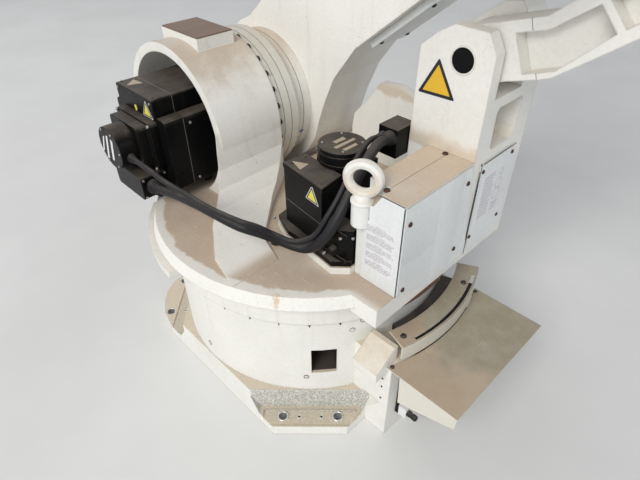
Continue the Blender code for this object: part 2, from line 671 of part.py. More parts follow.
# Cable guard: tray, two end tabs and an outer flange with a slot between.
guard = sector("cable_guard", GREIGE, GUARD_IN, GUARD_OUT, GUARD_LOW, GUARD_TOP, GUARD_END_LEFT, GUARD_END_RIGHT)
cut(guard, sector("guard_underside", None, GUARD_IN - OVER, GUARD_FLANGE_IN, GUARD_LOW - OVER,
                  GUARD_TOP - GUARD_PLATE, GUARD_END_LEFT - GUARD_TAB, GUARD_END_RIGHT + GUARD_TAB))
cut(guard, sector("guard_slot", None, GUARD_TRAY_OUT, GUARD_FLANGE_IN, GUARD_LOW, GUARD_TOP + OVER,
                  GUARD_END_LEFT + GUARD_TAB, GUARD_END_RIGHT - GUARD_TAB))

SEAL_LOW = LID_TOP - SHEET
guard_seal = sector("guard_seal", RUBBER, SEAL_IN, GUARD_FLANGE_IN - GAP, SEAL_LOW, SEAL_LOW + SEAL_HEIGHT,
                    GUARD_END_LEFT + GUARD_TAB, GUARD_END_RIGHT - GUARD_TAB)

# Lid over the connectors: folded sheet.
arc = math.asin(LID_HALF / LID_ARC)
lid_outline = [(-LID_ARC * math.cos(arc * (1 - 2 * i / STEPS_SMALL)),
                LID_ARC * math.sin(arc * (1 - 2 * i / STEPS_SMALL))) for i in range(STEPS_SMALL + 1)]
lid_outline += [(-LID_BACK, -LID_HALF), (-LID_BACK, LID_HALF)]
base_lid = slab("base_lid", GREIGE, lid_outline, "Z", LID_TOP - SHEET, LID_TOP)
sheet_middle = LID_TOP - SHEET / 2
for low, name, shares in ((LID_HALF - SHEET, "left", SKIRT_SHARES), (-LID_HALF, "right", SKIRT_RIGHT_SHARES)):
    skirt = within(shares, (-LID_BACK, -LID_ARC - SKIRT_STEP), (sheet_middle - SKIRT_DEPTH, sheet_middle))
    unite(base_lid, slab("lid_skirt_" + name, None, skirt, "Y", low, low + SHEET))

panel_back = NECK_BACK + GAP + PANEL_THICK
connector_panel = block("connector_panel", BLACK, (-panel_back, -NECK_BACK - GAP), (-PANEL_HALF, PANEL_HALF),
                        (PANEL_LOW, PANEL_HIGH))
for y, name in ((PLUG_LEFT_Y, "power_connector"), (PLUG_RIGHT_Y, "signal_connector")):
    block(name, STEEL, (-panel_back - GAP - PLUG_DEPTH, -panel_back - GAP),
          (y - PLUG_WIDE / 2, y + PLUG_WIDE / 2), (PLUG_Z - PLUG_TALL / 2, PLUG_Z + PLUG_TALL / 2))

# Column casting: turned plate with tail, front shelf, hoop, flared leg and motor seat.
plate = within(PLATE_SHARES, (PLATE_IN, PLATE_OUT), (PLATE_TOP - PLATE_DROP, PLATE_TOP))
column = turned("column_casting", WHITE,
                [(0, PLATE_TOP)] + plate + [(PLATE_IN, COLUMN_UNDERSIDE), (0, COLUMN_UNDERSIDE)])
unite(column, sector("plate_lip", None, LIP_IN, WALL_RADIUS + LIP_WIDE, LIP_LOW, LIP_TOP, LIP_FROM, LIP_TO))
unite(column, block("column_tail", None, (COLUMN_BACK, TAIL_FRONT), (TAIL_FAR, TAIL_NEAR), (TAIL_LOW, PLATE_TOP)))
cut(column, block("tail_face", None, (COLUMN_BACK - OVER * 2, COLUMN_BACK), (-PLATE_TOP, PLATE_TOP),
                  (COLUMN_UNDERSIDE, PLATE_TOP + OVER)))
unite(column, slab("column_shelf", None, within(SHELF_SHARES, (SHELF_BACK, SHELF_FRONT), (SHELF_IN, SHELF_OUT)),
                   "Z", SHELF_LOW, PLATE_TOP - JOIN))
hoop_low = Vector((AXIS_2_X, 0, AXIS_2_Z))
along_y = Vector((0, 1, 0))
hoop = drum("hoop", None, hoop_low, hoop_low + along_y * HOOP_LENGTH, HOOP_RADIUS, steps=STEPS_LARGE)
unite(hoop, block("hoop_pad_boss", None, (AXIS_2_X - PAD_HALF, AXIS_2_X + PAD_HALF), (PAD_FAR, PAD_NEAR),
                  (AXIS_2_Z, PAD_SEAT)))
leg = slab("hoop_leg", None, within(LEG_SHARES, (LEG_BACK, LEG_FRONT), (LEG_LOW, LEG_TOP)), "Y",
           -OVER, HOOP_LENGTH * 2 + OVER)
keep(leg, slab("hoop_leg_plan", None, within(LEG_PLAN_SHARES, (LEG_BACK, LEG_PLAN_FRONT), (0, LEG_OUT)), "Z",
               LEG_LOW - OVER, AXIS_2_Z + HOOP_RADIUS))
unite(hoop, leg)
cut(hoop, drum("hoop_bore", None, hoop_low + along_y * WEB_THICK, hoop_low + along_y * (HOOP_LENGTH + OVER),
               HOOP_RADIUS - HOOP_WALL, steps=STEPS_LARGE))
unite(column, hoop)
unite(column, slab("motor_seat", None, within(SEAT_SHARES, (SEAT_BACK, SEAT_FRONT), (SEAT_FAR, SEAT_NEAR)), "Z",
                   PLATE_TOP - JOIN, SEAT_TOP))
cut(column, drum("root_clearance", None, hoop_low, (AXIS_2_X, ROOT_FAR, AXIS_2_Z), ROOT_CLEAR,
                 steps=STEPS_LARGE))

arch_pad = block("arch_pad", RUST, (AXIS_2_X - PAD_HALF + PAD_INSET, AXIS_2_X + PAD_HALF - PAD_INSET),
                 (PAD_FAR + PAD_INSET, PAD_NEAR - PAD_INSET), (PAD_SEAT + GAP, PAD_SEAT + PAD_THICK))

# Axis 2 gear and motor in the hoop.
axis_2_gear = drum("axis_2_gear", WHITE, (AXIS_2_X, GEAR_FAR, AXIS_2_Z), (AXIS_2_X, -GAP, AXIS_2_Z), GEAR_RADIUS,
                   steps=STEPS_LARGE)


def rounded(limits, corner, steps=4):
    """A rectangle's outline with round corners."""
    u0, u1, v0, v1 = limits
    outline = []
    for u, v, start in ((u1 - corner, v1 - corner, 0), (u0 + corner, v1 - corner, 1),
                        (u0 + corner, v0 + corner, 2), (u1 - corner, v0 + corner, 3)):
        for i in range(steps + 1):
            a = math.pi / 2 * (start + i / steps)
            outline.append((u + corner * math.cos(a), v + corner * math.sin(a)))
    return outline




def beside_axis(half, low, high, corner):
    """A rounded outline, half wide to each side of axis 2, from low to high above it."""
    return rounded((AXIS_2_X - half, AXIS_2_X + half, AXIS_2_Z + low, AXIS_2_Z + high), corner)


motor_2_outline = beside_axis(MOTOR_2_HALF, -MOTOR_2_BELOW, MOTOR_2_ABOVE, MOTOR_2_CORNER)
motor_2_body = slab("axis_2_motor_body", BLACK, motor_2_outline, "Y", WEB_THICK + GAP, MOTOR_2_SEAM - GAP)
motor_2_shell = slab("axis_2_motor_shell", BLACK, motor_2_outline, "Y", MOTOR_2_SEAM, MOTOR_2_NEAR)
box_2 = slab("axis_2_terminal_box", BLACK,
             beside_axis(BOX_2_HALF, MOTOR_2_ABOVE + GAP, MOTOR_2_ABOVE + BOX_2_HEIGHT, MOTOR_2_CORNER / 2), "Y",
             BOX_2_FAR, BOX_2_NEAR)
encoder = slab("axis_2_encoder_housing", BLACK,
               beside_axis(ENCODER_FLANGE_HALF, -ENCODER_FLANGE_TALL, ENCODER_FLANGE_TALL, MOTOR_2_CORNER), "Y",
               MOTOR_2_NEAR + GAP, ENCODER_FLANGE_NEAR)
unite(encoder, slab("encoder_body", None, beside_axis(ENCODER_HALF, -ENCODER_TALL, ENCODER_TALL, MOTOR_2_CORNER),
                    "Y", ENCODER_FLANGE_NEAR - JOIN, ENCODER_NEAR))
cap_2 = drum("axis_2_motor_cap", BLACK, (AXIS_2_X, ENCODER_NEAR + GAP, AXIS_2_Z),
             (AXIS_2_X, ENCODER_NEAR + CAP_2_DEPTH, AXIS_2_Z), CAP_2_RADIUS)
plug_2 = slab("axis_2_connector", BLACK,
              rounded((AXIS_2_X - PLUG_2_BACK, AXIS_2_X + PLUG_2_FRONT, AXIS_2_Z - PLUG_2_LOW,
                       AXIS_2_Z - PLUG_2_HIGH), MOTOR_2_CORNER / 2), "Y",
              MOTOR_2_NEAR + GAP, MOTOR_2_NEAR + PLUG_2_DEPTH)
ring_2_z = AXIS_2_Z - MOTOR_2_BELOW - RING_2_MAJOR - RING_2_MINOR - GAP
lift_ring = ring("motor_lift_ring", BLACK, Vector((AXIS_2_X - RING_2_BACK, RING_2_Y, ring_2_z)), RING_2_MAJOR,
                 RING_2_MINOR, Vector((1, 0, 0)), steps=STEPS_SMALL)

# Axis 1 motor on its seat.
motor_1_flange = slab("axis_1_motor_flange", BLACK,
                      within(SEAT_SHARES, (SEAT_BACK + SEAT_EDGE, SEAT_FRONT - SEAT_EDGE),
                             (SEAT_FAR + SEAT_EDGE, SEAT_NEAR - SEAT_EDGE)), "Z", SEAT_TOP + GAP, FLANGE_1_TOP)
motor_1_near = MOTOR_1_Y + MOTOR_1_NEAR
motor_1_body = slab("axis_1_motor_body", BLACK,
                    within(MOTOR_1_SHARES, (MOTOR_1_X - MOTOR_1_HALF, MOTOR_1_X + MOTOR_1_HALF),
                           (MOTOR_1_Y - MOTOR_1_FAR, motor_1_near)), "Z", FLANGE_1_TOP + GAP, CAP_1_LOW - GAP)
motor_1_cap = drum("axis_1_motor_cap", BLACK, (MOTOR_1_X, MOTOR_1_Y, CAP_1_LOW),
                   (MOTOR_1_X, MOTOR_1_Y, CAP_1_LOW + CAP_1_HEIGHT), CAP_1_RADIUS)
box_1 = slab("axis_1_terminal_box", BLACK,
             within(BOX_1_SHARES, (BOX_1_BACK, BOX_1_FRONT),
                    (motor_1_near + BOX_1_CLEAR, motor_1_near + BOX_1_CLEAR + BOX_1_DEPTH)), "Z",
             FLANGE_1_TOP + GAP, CAP_1_LOW - BOX_1_DROP)
junction_box = slab("junction_box", BLACK,
                    within(JUNCTION_SHARES, (JUNCTION_BACK, JUNCTION_FRONT), (JUNCTION_FAR, JUNCTION_NEAR)), "Z",
                    FLANGE_1_TOP + GAP, FLANGE_1_TOP + JUNCTION_HEIGHT)
grommet = drum("grommet", RUBBER, (GROMMET_X, GROMMET_Y, PLATE_TOP + GAP),
               (GROMMET_X, GROMMET_Y, PLATE_TOP + GROMMET_HEIGHT), GROMMET_RADIUS, steps=STEPS_SMALL)
cut(grommet, drum("grommet_bore", None, (GROMMET_X, GROMMET_Y, PLATE_TOP + GROMMET_HEIGHT / 2),
                  (GROMMET_X, GROMMET_Y, PLATE_TOP + GROMMET_HEIGHT + OVER), GROMMET_BORE, steps=STEPS_SMALL))

# Column box with its covers, boss and eye bolt.
column_box = block("column_box", WHITE, (COLUMN_BACK, BOX_FRONT), (BOX_FAR, BOX_NEAR), (PLATE_TOP + GAP, BOX_TOP))
cut(column_box, block("box_notch", None, (NOTCH_X, BOX_FRONT + OVER), (NOTCH_Y, BOX_NEAR + OVER),
                      (NOTCH_Z, BOX_TOP + OVER)))
unite(column_box, drum("eye_boss", None, (EYE_X, EYE_Y, NOTCH_Z - BOSS_HEIGHT), (EYE_X, EYE_Y, NOTCH_Z), BOSS_RADIUS))
side_cover = slab("side_cover", WHITE,
                  within(SIDE_COVER_SHARES, (COLUMN_BACK, SIDE_COVER_FRONT),
                         (PLATE_TOP + COVER_REVEAL, BOX_TOP - COVER_EDGE)), "Y",
                  BOX_NEAR + GAP, BOX_NEAR + GAP + COVER_THICK)
rear_cover = slab("rear_cover", WHITE,
                  within(REAR_COVER_SHARES, (REAR_COVER_FAR, BOX_NEAR - COVER_EDGE * 2),
                         (REAR_COVER_LOW, BOX_TOP - REAR_COVER_DROP)), "X",
                  COLUMN_BACK - GAP - COVER_THICK, COLUMN_BACK - GAP)
facing = Vector((math.cos(EYE_TURN), math.sin(EYE_TURN), 0))
eye_bolt = ring("eye_bolt", WHITE, Vector((EYE_X, EYE_Y, EYE_Z)), EYE_MAJOR, EYE_MINOR, facing)
unite(eye_bolt, drum("eye_shank", None, (EYE_X, EYE_Y, NOTCH_Z + GAP), (EYE_X, EYE_Y, EYE_Z - EYE_MAJOR),
                     SHANK_FOOT_RADIUS, SHANK_RADIUS))

# Tower with its clevis, the pin and the rear beam.
tower = slab("tower", WHITE, within(TOWER_SHARES, (COLUMN_BACK, TOWER_FRONT), (PLATE_TOP + GAP, TOWER_TOP)), "Y",
             TOWER_FAR, TOWER_NEAR)
unite(tower, slab("tower_far_plate", None,
                  within(FAR_PLATE_SHARES, (COLUMN_BACK, TOWER_FRONT),
                         (TOWER_TOP - FAR_PLATE_DROP, TOWER_TOP + FAR_PLATE_RISE)), "Y", TOWER_FAR, CLEVIS_FAR))
cut(tower, block("clevis_gap", None, (COLUMN_BACK - OVER * 2, TOWER_FRONT + OVER), (CLEVIS_FAR, CLEVIS_NEAR),
                 (TOWER_TOP - CLEVIS_DROP, TOWER_TOP + FAR_PLATE_RISE + OVER)))
cut(tower, drum("pin_hole", None, (PIN_X, TOWER_NEAR + OVER, PIN_Z), (PIN_X, PIN_FAR - GAP, PIN_Z),
                PIN_RADIUS + GAP))
cut(tower, slab("tower_slot", None, within(SLOT_SHARES, (SLOT_FAR, SLOT_NEAR), (SLOT_LOW, SLOT_HIGH)), "X",
                COLUMN_BACK - OVER * 2, COLUMN_BACK + SLOT_DEPTH))
tower_cover = slab("tower_cover", WHITE,
                   within(TOWER_COVER_SHARES, (TOWER_COVER_FAR, TOWER_COVER_NEAR),
                          (TOWER_COVER_LOW, TOWER_COVER_HIGH)), "X",
                   COLUMN_BACK - GAP - COVER_THICK, COLUMN_BACK - GAP)
tower_pin = drum("tower_pin", BLACK, (PIN_X, PIN_FAR, PIN_Z), (PIN_X, TOWER_NEAR, PIN_Z), PIN_RADIUS)
beam_limits = ((PIN_X - BEAM_BEHIND, PIN_X + BEAM_AHEAD), (PIN_Z - BEAM_UNDER, PIN_Z + BEAM_ABOVE))
beam = slab("rear_beam", WHITE, within(BEAM_SHARES, *beam_limits), "Y", BEAM_FAR, BEAM_NEAR)
cut(beam, drum("beam_pin_hole", None, (PIN_X, BEAM_FAR - OVER, PIN_Z), (PIN_X, BEAM_NEAR + OVER, PIN_Z),
               PIN_RADIUS + GAP))
(beam_eye_x, beam_eye_z), = within([BEAM_EYE_SHARES], *beam_limits)
cut(beam, drum("beam_eye", None, (beam_eye_x, BEAM_FAR - OVER, beam_eye_z),
               (beam_eye_x, BEAM_NEAR + OVER, beam_eye_z), BEAM_EYE_RADIUS, steps=STEPS_SMALL))
for number, shares in enumerate(BEAM_POCKET_SHARES):
    outline = within(shares, *beam_limits)
    cut(beam, slab(f"beam_pocket_near_{number}", None, outline, "Y", BEAM_NEAR - BEAM_POCKET_DEPTH,
                   BEAM_NEAR + OVER))
    cut(beam, slab(f"beam_pocket_far_{number}", None, outline, "Y", BEAM_FAR - OVER,
                   BEAM_FAR + BEAM_POCKET_DEPTH))
side_wall = slab("side_wall", WHITE,
                 within(SIDE_WALL_SHARES, (SIDE_WALL_BACK, SIDE_WALL_FRONT),
                        (PLATE_TOP + GAP, PLATE_TOP + SIDE_WALL_HEIGHT)), "Y",
                 TOWER_FAR, TOWER_FAR + SIDE_WALL_THICK)
clamp = block("cable_clamp", BLACK, (CLAMP_BACK, CLAMP_FRONT), (CLAMP_FAR, CLAMP_NEAR), (CLAMP_LOW, CLAMP_HIGH))
band = sector("cable_band", RUST, BAND_IN, BAND_OUT, BAND_LOW, BAND_TOP, BAND_FROM, BAND_TO)

power_cable = tube("power_cable", RUBBER, POWER_PATH, POWER_RADIUS)
signal_cable = tube("signal_cable", RUBBER, SIGNAL_PATH, SIGNAL_RADIUS)


# Link arm: everything on it is drawn with the link's own two directions.
along = (math.cos(LINK_ANGLE), math.sin(LINK_ANGLE))
front = (along[1], -along[0])


def on_link(e, n):
    return (AXIS_2_X + along[0] * e + front[0] * n, AXIS_2_Z + along[1] * e + front[1] * n)


link_front = [(LINK_LENGTH * a, LINK_ELBOW_RADIUS * b) for a, b in LINK_FRONT_SHARES]
link_rear = [(LINK_LENGTH * a, LINK_ELBOW_RADIUS * b) for a, b in LINK_REAR_SHARES]
outline = [on_link(*p) for p in link_front]
for i in range(STEPS_SMALL // 2 + 1):
    a = math.pi / 2 - math.pi * i / (STEPS_SMALL // 2)
    outline.append(on_link(LINK_LENGTH + LINK_ELBOW_RADIUS * math.cos(a), LINK_ELBOW_RADIUS * math.sin(a)))
outline += [on_link(*p) for p in link_rear]
root_from = math.atan2(link_rear[-1][1], link_rear[-1][0]) + 2 * math.pi
root_to = math.atan2(link_front[0][1], link_front[0][0])
for i in range(1, STEPS_MEDIUM // 2):
    a = root_from + (root_to - root_from) * i / (STEPS_MEDIUM // 2)
    outline.append(on_link(LINK_ROOT_RADIUS * math.cos(a), LINK_ROOT_RADIUS * math.sin(a)))
link_arm = slab("link_arm", WHITE, outline, "Y", LINK_FAR, LINK_NEAR - GAP)
axis_2_hub = drum("axis_2_hub", WHITE, (AXIS_2_X, LINK_NEAR, AXIS_2_Z), (AXIS_2_X, GEAR_FAR - RUNNING_GAP, AXIS_2_Z),
                  HUB_RADIUS, steps=STEPS_LARGE)

# Upper arm, along its own two directions from the elbow.
elbow = on_link(LINK_LENGTH, 0)
arm_along = (math.cos(ARM_ANGLE), math.sin(ARM_ANGLE))
arm_across = (arm_along[1], -arm_along[0])


def on_arm(a, b, y=0.0):
    return Vector((elbow[0] + arm_along[0] * a + arm_across[0] * b, y,
                   elbow[1] + arm_along[1] * a + arm_across[1] * b))


elbow_outline = within(ELBOW_SHARES, (-ELBOW_BEHIND, ELBOW_AHEAD), (-ELBOW_UNDER, ELBOW_OVER))
elbow_housing = slab("elbow_housing", WHITE, [(on_arm(*p).x, on_arm(*p).z) for p in elbow_outline], "Y",
                     LINK_NEAR, ELBOW_NEAR)
axis_3_motor = drum("axis_3_motor", BLACK, on_arm(0, 0, ELBOW_NEAR + GAP), on_arm(0, 0, ELBOW_NEAR + MOTOR_3_LENGTH),
                    MOTOR_3_RADIUS)
for number, (out, aside) in enumerate(WRIST_MOTOR_SHARES, start=1):
    b, y = WRIST_MOTOR_OUT * out, WRIST_MOTOR_SIDE * aside
    drum(f"wrist_motor_{number}", BLACK, on_arm(-ELBOW_BEHIND - GAP, b, y),
         on_arm(-ELBOW_BEHIND - WRIST_MOTOR_LENGTH, b, y), WRIST_MOTOR_RADIUS)
forearm = drum("forearm", WHITE, on_arm(ELBOW_AHEAD + GAP, ELBOW_OFFSET), on_arm(ARM_TO, ELBOW_OFFSET),
               ARM_ROOT_RADIUS, ARM_TIP_RADIUS, steps=STEPS_MEDIUM)
wrist_housing = drum("wrist_housing", WHITE, on_arm(ARM_TO + GAP, ELBOW_OFFSET),
                     on_arm(WRIST_HOUSING_TO, ELBOW_OFFSET), WRIST_HOUSING_RADIUS)
wrist_bend = drum("wrist_bend", WHITE, on_arm(WRIST_REACH, ELBOW_OFFSET, -BEND_HALF),
                  on_arm(WRIST_REACH, ELBOW_OFFSET, BEND_HALF), BEND_RADIUS)
unite(wrist_bend, drum("wrist_nose", None, on_arm(WRIST_REACH, ELBOW_OFFSET),
                       on_arm(WRIST_REACH + FLANGE_REACH - FLANGE_THICK - GAP, ELBOW_OFFSET), NOSE_RADIUS))
tool_flange = drum("tool_flange", STEEL, on_arm(WRIST_REACH + FLANGE_REACH - FLANGE_THICK, ELBOW_OFFSET),
                   on_arm(WRIST_REACH + FLANGE_REACH, ELBOW_OFFSET), FLANGE_RADIUS)


def rear_level(e):
    """How far the link's rear face lies from its centre line."""
    for (e1, n1), (e0, n0) in zip(link_rear, link_rear[1:]):
        if e0 <= e <= e1:
            return n0 + (n1 - n0) * (e - e0) / (e1 - e0)
    return link_rear[0][1]


cover_from, cover_to = (LINK_LENGTH * share for share in LINK_COVER_SHARES)
stations = [cover_from] + [e for e, _ in reversed(link_rear) if cover_from < e < cover_to] + [cover_to]
link_cover = slab("link_cover", WHITE,
                  [on_link(e, rear_level(e) - GAP * 2) for e in stations] +
                  [on_link(e, rear_level(e) - LINK_COVER_THICK) for e in reversed(stations)],
                  "Y", (LINK_NEAR + LINK_FAR) / 2 - LINK_COVER_HALF,
                  (LINK_NEAR + LINK_FAR) / 2 + LINK_COVER_HALF)

# Pivots carry what turns.
pivot_1 = bpy.data.objects.new("axis_1_pivot", None)
pivot_2 = bpy.data.objects.new("axis_2_pivot", None)
pivot_2.location = (AXIS_2_X, 0, AXIS_2_Z)
for pivot in (pivot_1, pivot_2):
    pivots.objects.link(pivot)
ON_BASE = {"base_frame", "slew_bearing", "cable_guard", "guard_seal", "base_lid", "connector_panel",
           "power_connector", "signal_connector"}
ON_LINK = {"link_arm", "axis_2_hub", "link_cover", "elbow_housing", "axis_3_motor", "wrist_motor_1",
           "wrist_motor_2", "wrist_motor_3", "forearm", "wrist_housing", "wrist_bend", "tool_flange"}
bpy.context.view_layer.update()
pivot_2.parent = pivot_1
for thing in parts.objects:
    if thing.name in ON_LINK:
        thing.parent = pivot_2
        thing.matrix_parent_inverse = pivot_2.matrix_world.inverted()
    elif thing.name not in ON_BASE:
        thing.parent = pivot_1
bpy.context.view_layer.update()
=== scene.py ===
"""An industrial robot arm on its floor base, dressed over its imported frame.

Metres, +Z up, +X forward, +Y to the robot's left. The arm is parked laid back.
"""
import math
import random

import bmesh
import bpy
from mathutils import Matrix, Vector


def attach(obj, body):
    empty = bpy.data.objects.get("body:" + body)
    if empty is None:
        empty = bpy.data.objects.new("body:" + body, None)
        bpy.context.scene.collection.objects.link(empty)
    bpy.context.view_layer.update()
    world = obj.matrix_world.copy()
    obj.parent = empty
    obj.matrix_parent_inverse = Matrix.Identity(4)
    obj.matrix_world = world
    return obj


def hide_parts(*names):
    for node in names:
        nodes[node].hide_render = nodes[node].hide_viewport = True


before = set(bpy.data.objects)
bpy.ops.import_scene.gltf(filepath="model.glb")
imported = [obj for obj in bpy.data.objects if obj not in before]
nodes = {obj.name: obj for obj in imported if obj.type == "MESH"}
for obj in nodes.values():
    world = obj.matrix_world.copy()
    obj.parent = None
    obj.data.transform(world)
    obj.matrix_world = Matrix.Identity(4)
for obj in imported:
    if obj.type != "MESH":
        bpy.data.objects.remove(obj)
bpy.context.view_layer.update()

stage = bpy.context.scene

# ---- Camera. A camera held by hand above the arm's left rear, looking down at
# the column. Its place was solved from the round plate and the bolted foot.
CAMERA_PLACE = Vector((-0.919, 0.859, 1.322))
CAMERA_AIM = Vector((0.5610, -0.5467, -0.6217))
CAMERA_RIGHT = Vector((-0.6979, -0.7162, 0.0))
CAMERA_ROLL = math.radians(-0.48)
CAMERA_LENS = 28.3
aim = CAMERA_AIM.normalized()
right = CAMERA_RIGHT.normalized()
up = right.cross(aim).normalized()
rolled_right = right * math.cos(CAMERA_ROLL) + up * math.sin(CAMERA_ROLL)
rolled_up = up * math.cos(CAMERA_ROLL) - right * math.sin(CAMERA_ROLL)
lens = bpy.data.cameras.new("camera")
lens.lens = CAMERA_LENS
lens.sensor_width = 36
lens.clip_start = 0.01
camera = bpy.data.objects.new("camera", lens)
camera.matrix_world = (Matrix.Translation(CAMERA_PLACE)
                       @ Matrix((rolled_right, rolled_up, -aim)).transposed().to_4x4())
stage.collection.objects.link(camera)
stage.camera = camera
stage.view_settings.view_transform = "Standard"

# ---- Cables of the axis 2 motor. A thick power cable and a thin signal cable in
# black rubber, plugged on the motor with ribbed reliefs. They sag over the plate,
# turn round the junction box and end in glands in the clamp beside the tower.
PAINT_WHITE = (0.86, 0.85, 0.80)
DUST_TAN = (0.47, 0.36, 0.26)
SPECK_BROWN = (0.09, 0.07, 0.05)
RUST_BROWN = (0.27, 0.10, 0.035)
GEAR_MIDDLE = Vector((0.350, 0.0, 0.675))      # on axis 2, in the column's middle plane


def feed(value, socket):
    """Links a node's output to another node's input."""
    value.id_data.links.new(value, socket)


def node_step(tree, kind, feeds, **settings):
    """A node; feeds are its inputs by index or name, as values or as outputs of its tree's other nodes."""
    node = tree.nodes.new(kind)
    for key, value in settings.items():
        setattr(node, key, value)
    for key, value in feeds.items():
        if isinstance(value, bpy.types.NodeSocket):
            feed(value, node.inputs[key])
        else:
            node.inputs[key].default_value = value
    return node


def shader_step(kind, feeds, tree=None, **settings):
    """A shader node in the tree of the outputs that feed it."""
    tree = tree or next(value.id_data for value in feeds.values() if isinstance(value, bpy.types.NodeSocket))
    return node_step(tree, "ShaderNode" + kind, feeds, **settings)


def ramp(value, low, high, to_low=0.0, to_high=1.0):
    """The value's span from low to high, mapped smoothly on to another span."""
    return shader_step("MapRange", {0: value, 1: low, 2: high, 3: to_low, 4: to_high},
                       interpolation_type="SMOOTHSTEP").outputs[0]


def vector_step(operation, a, b=(0, 0, 0)):
    """A vector sum; gives both of its outputs."""
    return shader_step("VectorMath", {0: a, 1: b}, operation=operation).outputs


def part_of(vector, number):
    """One of the three numbers of a vector: 0 is x, 1 is y, 2 is z."""
    return shader_step("SeparateXYZ", {0: vector}).outputs[number]


def times(a, b):
    return shader_step("Math", {0: a, 1: b}, operation="MULTIPLY").outputs[0]


def plus(a, b):
    return shader_step("Math", {0: a, 1: b}, operation="ADD").outputs[0]


def blended(share, a, b):
    """Colour a turning to colour b."""
    return shader_step("Mix", {0: share, 6: a, 7: b}, data_type="RGBA").outputs[2]


def noise(coords, scale, detail=3.0, rough=0.55):
    """Cloudy noise about a half."""
    return shader_step("TexNoise", {"Vector": coords, "Scale": scale, "Detail": detail,
                                    "Roughness": rough}).outputs[0]


def stretched(coords, scale):
    return shader_step("Mapping", {"Vector": coords, "Scale": scale}).outputs[0]


weather = bpy.data.node_groups.new("shop_weather", "ShaderNodeTree")
for name, kind, preset in (("Paint", "NodeSocketColor", (*PAINT_WHITE, 1)),
                           ("Dust", "NodeSocketColor", (*DUST_TAN, 1)),
                           ("Dust level", "NodeSocketFloat", 0.9), ("Specks", "NodeSocketFloat", 0.5),
                           ("Rust", "NodeSocketFloat", 0.3), ("Runs", "NodeSocketFloat", 0.3),
                           ("Edge", "NodeSocketColor", (0.5, 0.42, 0.32, 1)), ("Edge level", "NodeSocketFloat", 0.4),
                           ("Grain", "NodeSocketFloat", 0.5), ("Roughness", "NodeSocketFloat", 0.45),
                           ("Edge width", "NodeSocketFloat", 0.003)):
    socket = weather.interface.new_socket(name, in_out="INPUT", socket_type=kind)
    socket.default_value = preset
for name, kind in (("Colour", "NodeSocketColor"), ("Roughness", "NodeSocketFloat"), ("Height", "NodeSocketFloat"),
                   ("Rounding", "NodeSocketVector")):
    weather.interface.new_socket(name, in_out="OUTPUT", socket_type=kind)
given = weather.nodes.new("NodeGroupInput").outputs
place = weather.nodes.new("ShaderNodeTexCoord").outputs
spot = place["Object"]
broad = noise(spot, 5.0)
patchy = noise(spot, 17.0, 5.0, 0.65)
fine = noise(spot, 140.0, 2.0)
# Faces turned about the gear's axis or the upright one are shaded round.
rounded = place["Normal"]
for point, squash in ((GEAR_MIDDLE, (1, 0, 1)), ((0, 0, 0), (1, 1, 0))):
    away = vector_step("SUBTRACT", spot, point)[0]
    away = vector_step("NORMALIZE", vector_step("MULTIPLY", away, squash)[0])[0]
    lined = vector_step("DOT_PRODUCT", away, place["Normal"])["Value"]
    way = shader_step("Math", {0: lined}, operation="SIGN").outputs[0]
    near = shader_step("Math", {0: lined}, operation="ABSOLUTE").outputs[0]
    near = shader_step("Math", {0: near, 1: 0.9955}, operation="GREATER_THAN").outputs[0]
    turned_way = shader_step("VectorMath", {0: away, "Scale": way}, operation="SCALE").outputs[0]
    rounded = shader_step("Mix", {0: near, 4: rounded, 5: turned_way}, data_type="VECTOR").outputs[1]
# Dust settles on what faces up, with swept scuffs in it.
facing = part_of(rounded, 2)
broken = plus(facing, ramp(patchy, 0.25, 0.75, -0.10, 0.10))
level = ramp(broken, 0.45, 0.97)
settled = times(times(level, ramp(broad, 0.22, 0.52, 0.72, 1.0)), given["Dust level"])
swept = noise(stretched(spot, (26.0, 260.0, 60.0)), 1.0, 2.0)
scuffs = times(ramp(swept, 0.66, 0.72), times(level, 0.40))
settled = times(settled, ramp(scuffs, 0.0, 1.0, 1.0, 0.0))
dusty = blended(ramp(patchy, 0.3, 0.75, 0.0, 0.55), given["Dust"],
                blended(0.30, given["Dust"], (0.75, 0.68, 0.58, 1)))
colour = blended(settled, given["Paint"], dusty)
# Streaks run down upright faces.
run_marks = noise(stretched(spot, (30.0, 30.0, 2.0)), 1.0, 3.0, 0.6)
upright = ramp(facing, 0.0, 0.5, 1.0, 0.0)
runs = times(times(ramp(run_marks, 0.56, 0.78), upright), given["Runs"])
colour = blended(runs, colour, blended(0.55, given["Paint"], given["Dust"]))
# Paint is worn at the edges.
bevel = shader_step("Bevel", {"Radius": given["Edge width"]}, samples=4).outputs[0]
true_normal = weather.nodes.new("ShaderNodeNewGeometry").outputs["Normal"]
closeness = vector_step("DOT_PRODUCT", bevel, true_normal)["Value"]
edge = times(ramp(closeness, 0.995, 0.90), ramp(patchy, 0.42, 0.62))
colour = blended(times(edge, given["Edge level"]), colour, given["Edge"])
# Grime gathers in specks and flecks, and rust in small patches.
cells = shader_step("TexVoronoi", {"Vector": spot, "Scale": 62.0}).outputs["Distance"]
small_cells = shader_step("TexVoronoi", {"Vector": spot, "Scale": 210.0}).outputs["Distance"]
grime = ramp(plus(times(patchy, 0.6), times(broad, 0.4)), 0.50, 0.62)
specks = plus(times(ramp(cells, 0.13, 0.07), ramp(patchy, 0.56, 0.62)), times(ramp(small_cells, 0.22, 0.12), grime))
specks = times(specks, given["Specks"])
colour = blended(specks, colour, (*SPECK_BROWN, 1))
rust_noise = noise(spot, 23.0, 6.0, 0.75)
rust = times(ramp(rust_noise, 0.66, 0.74), given["Rust"])
colour = blended(rust, colour, (*RUST_BROWN, 1))
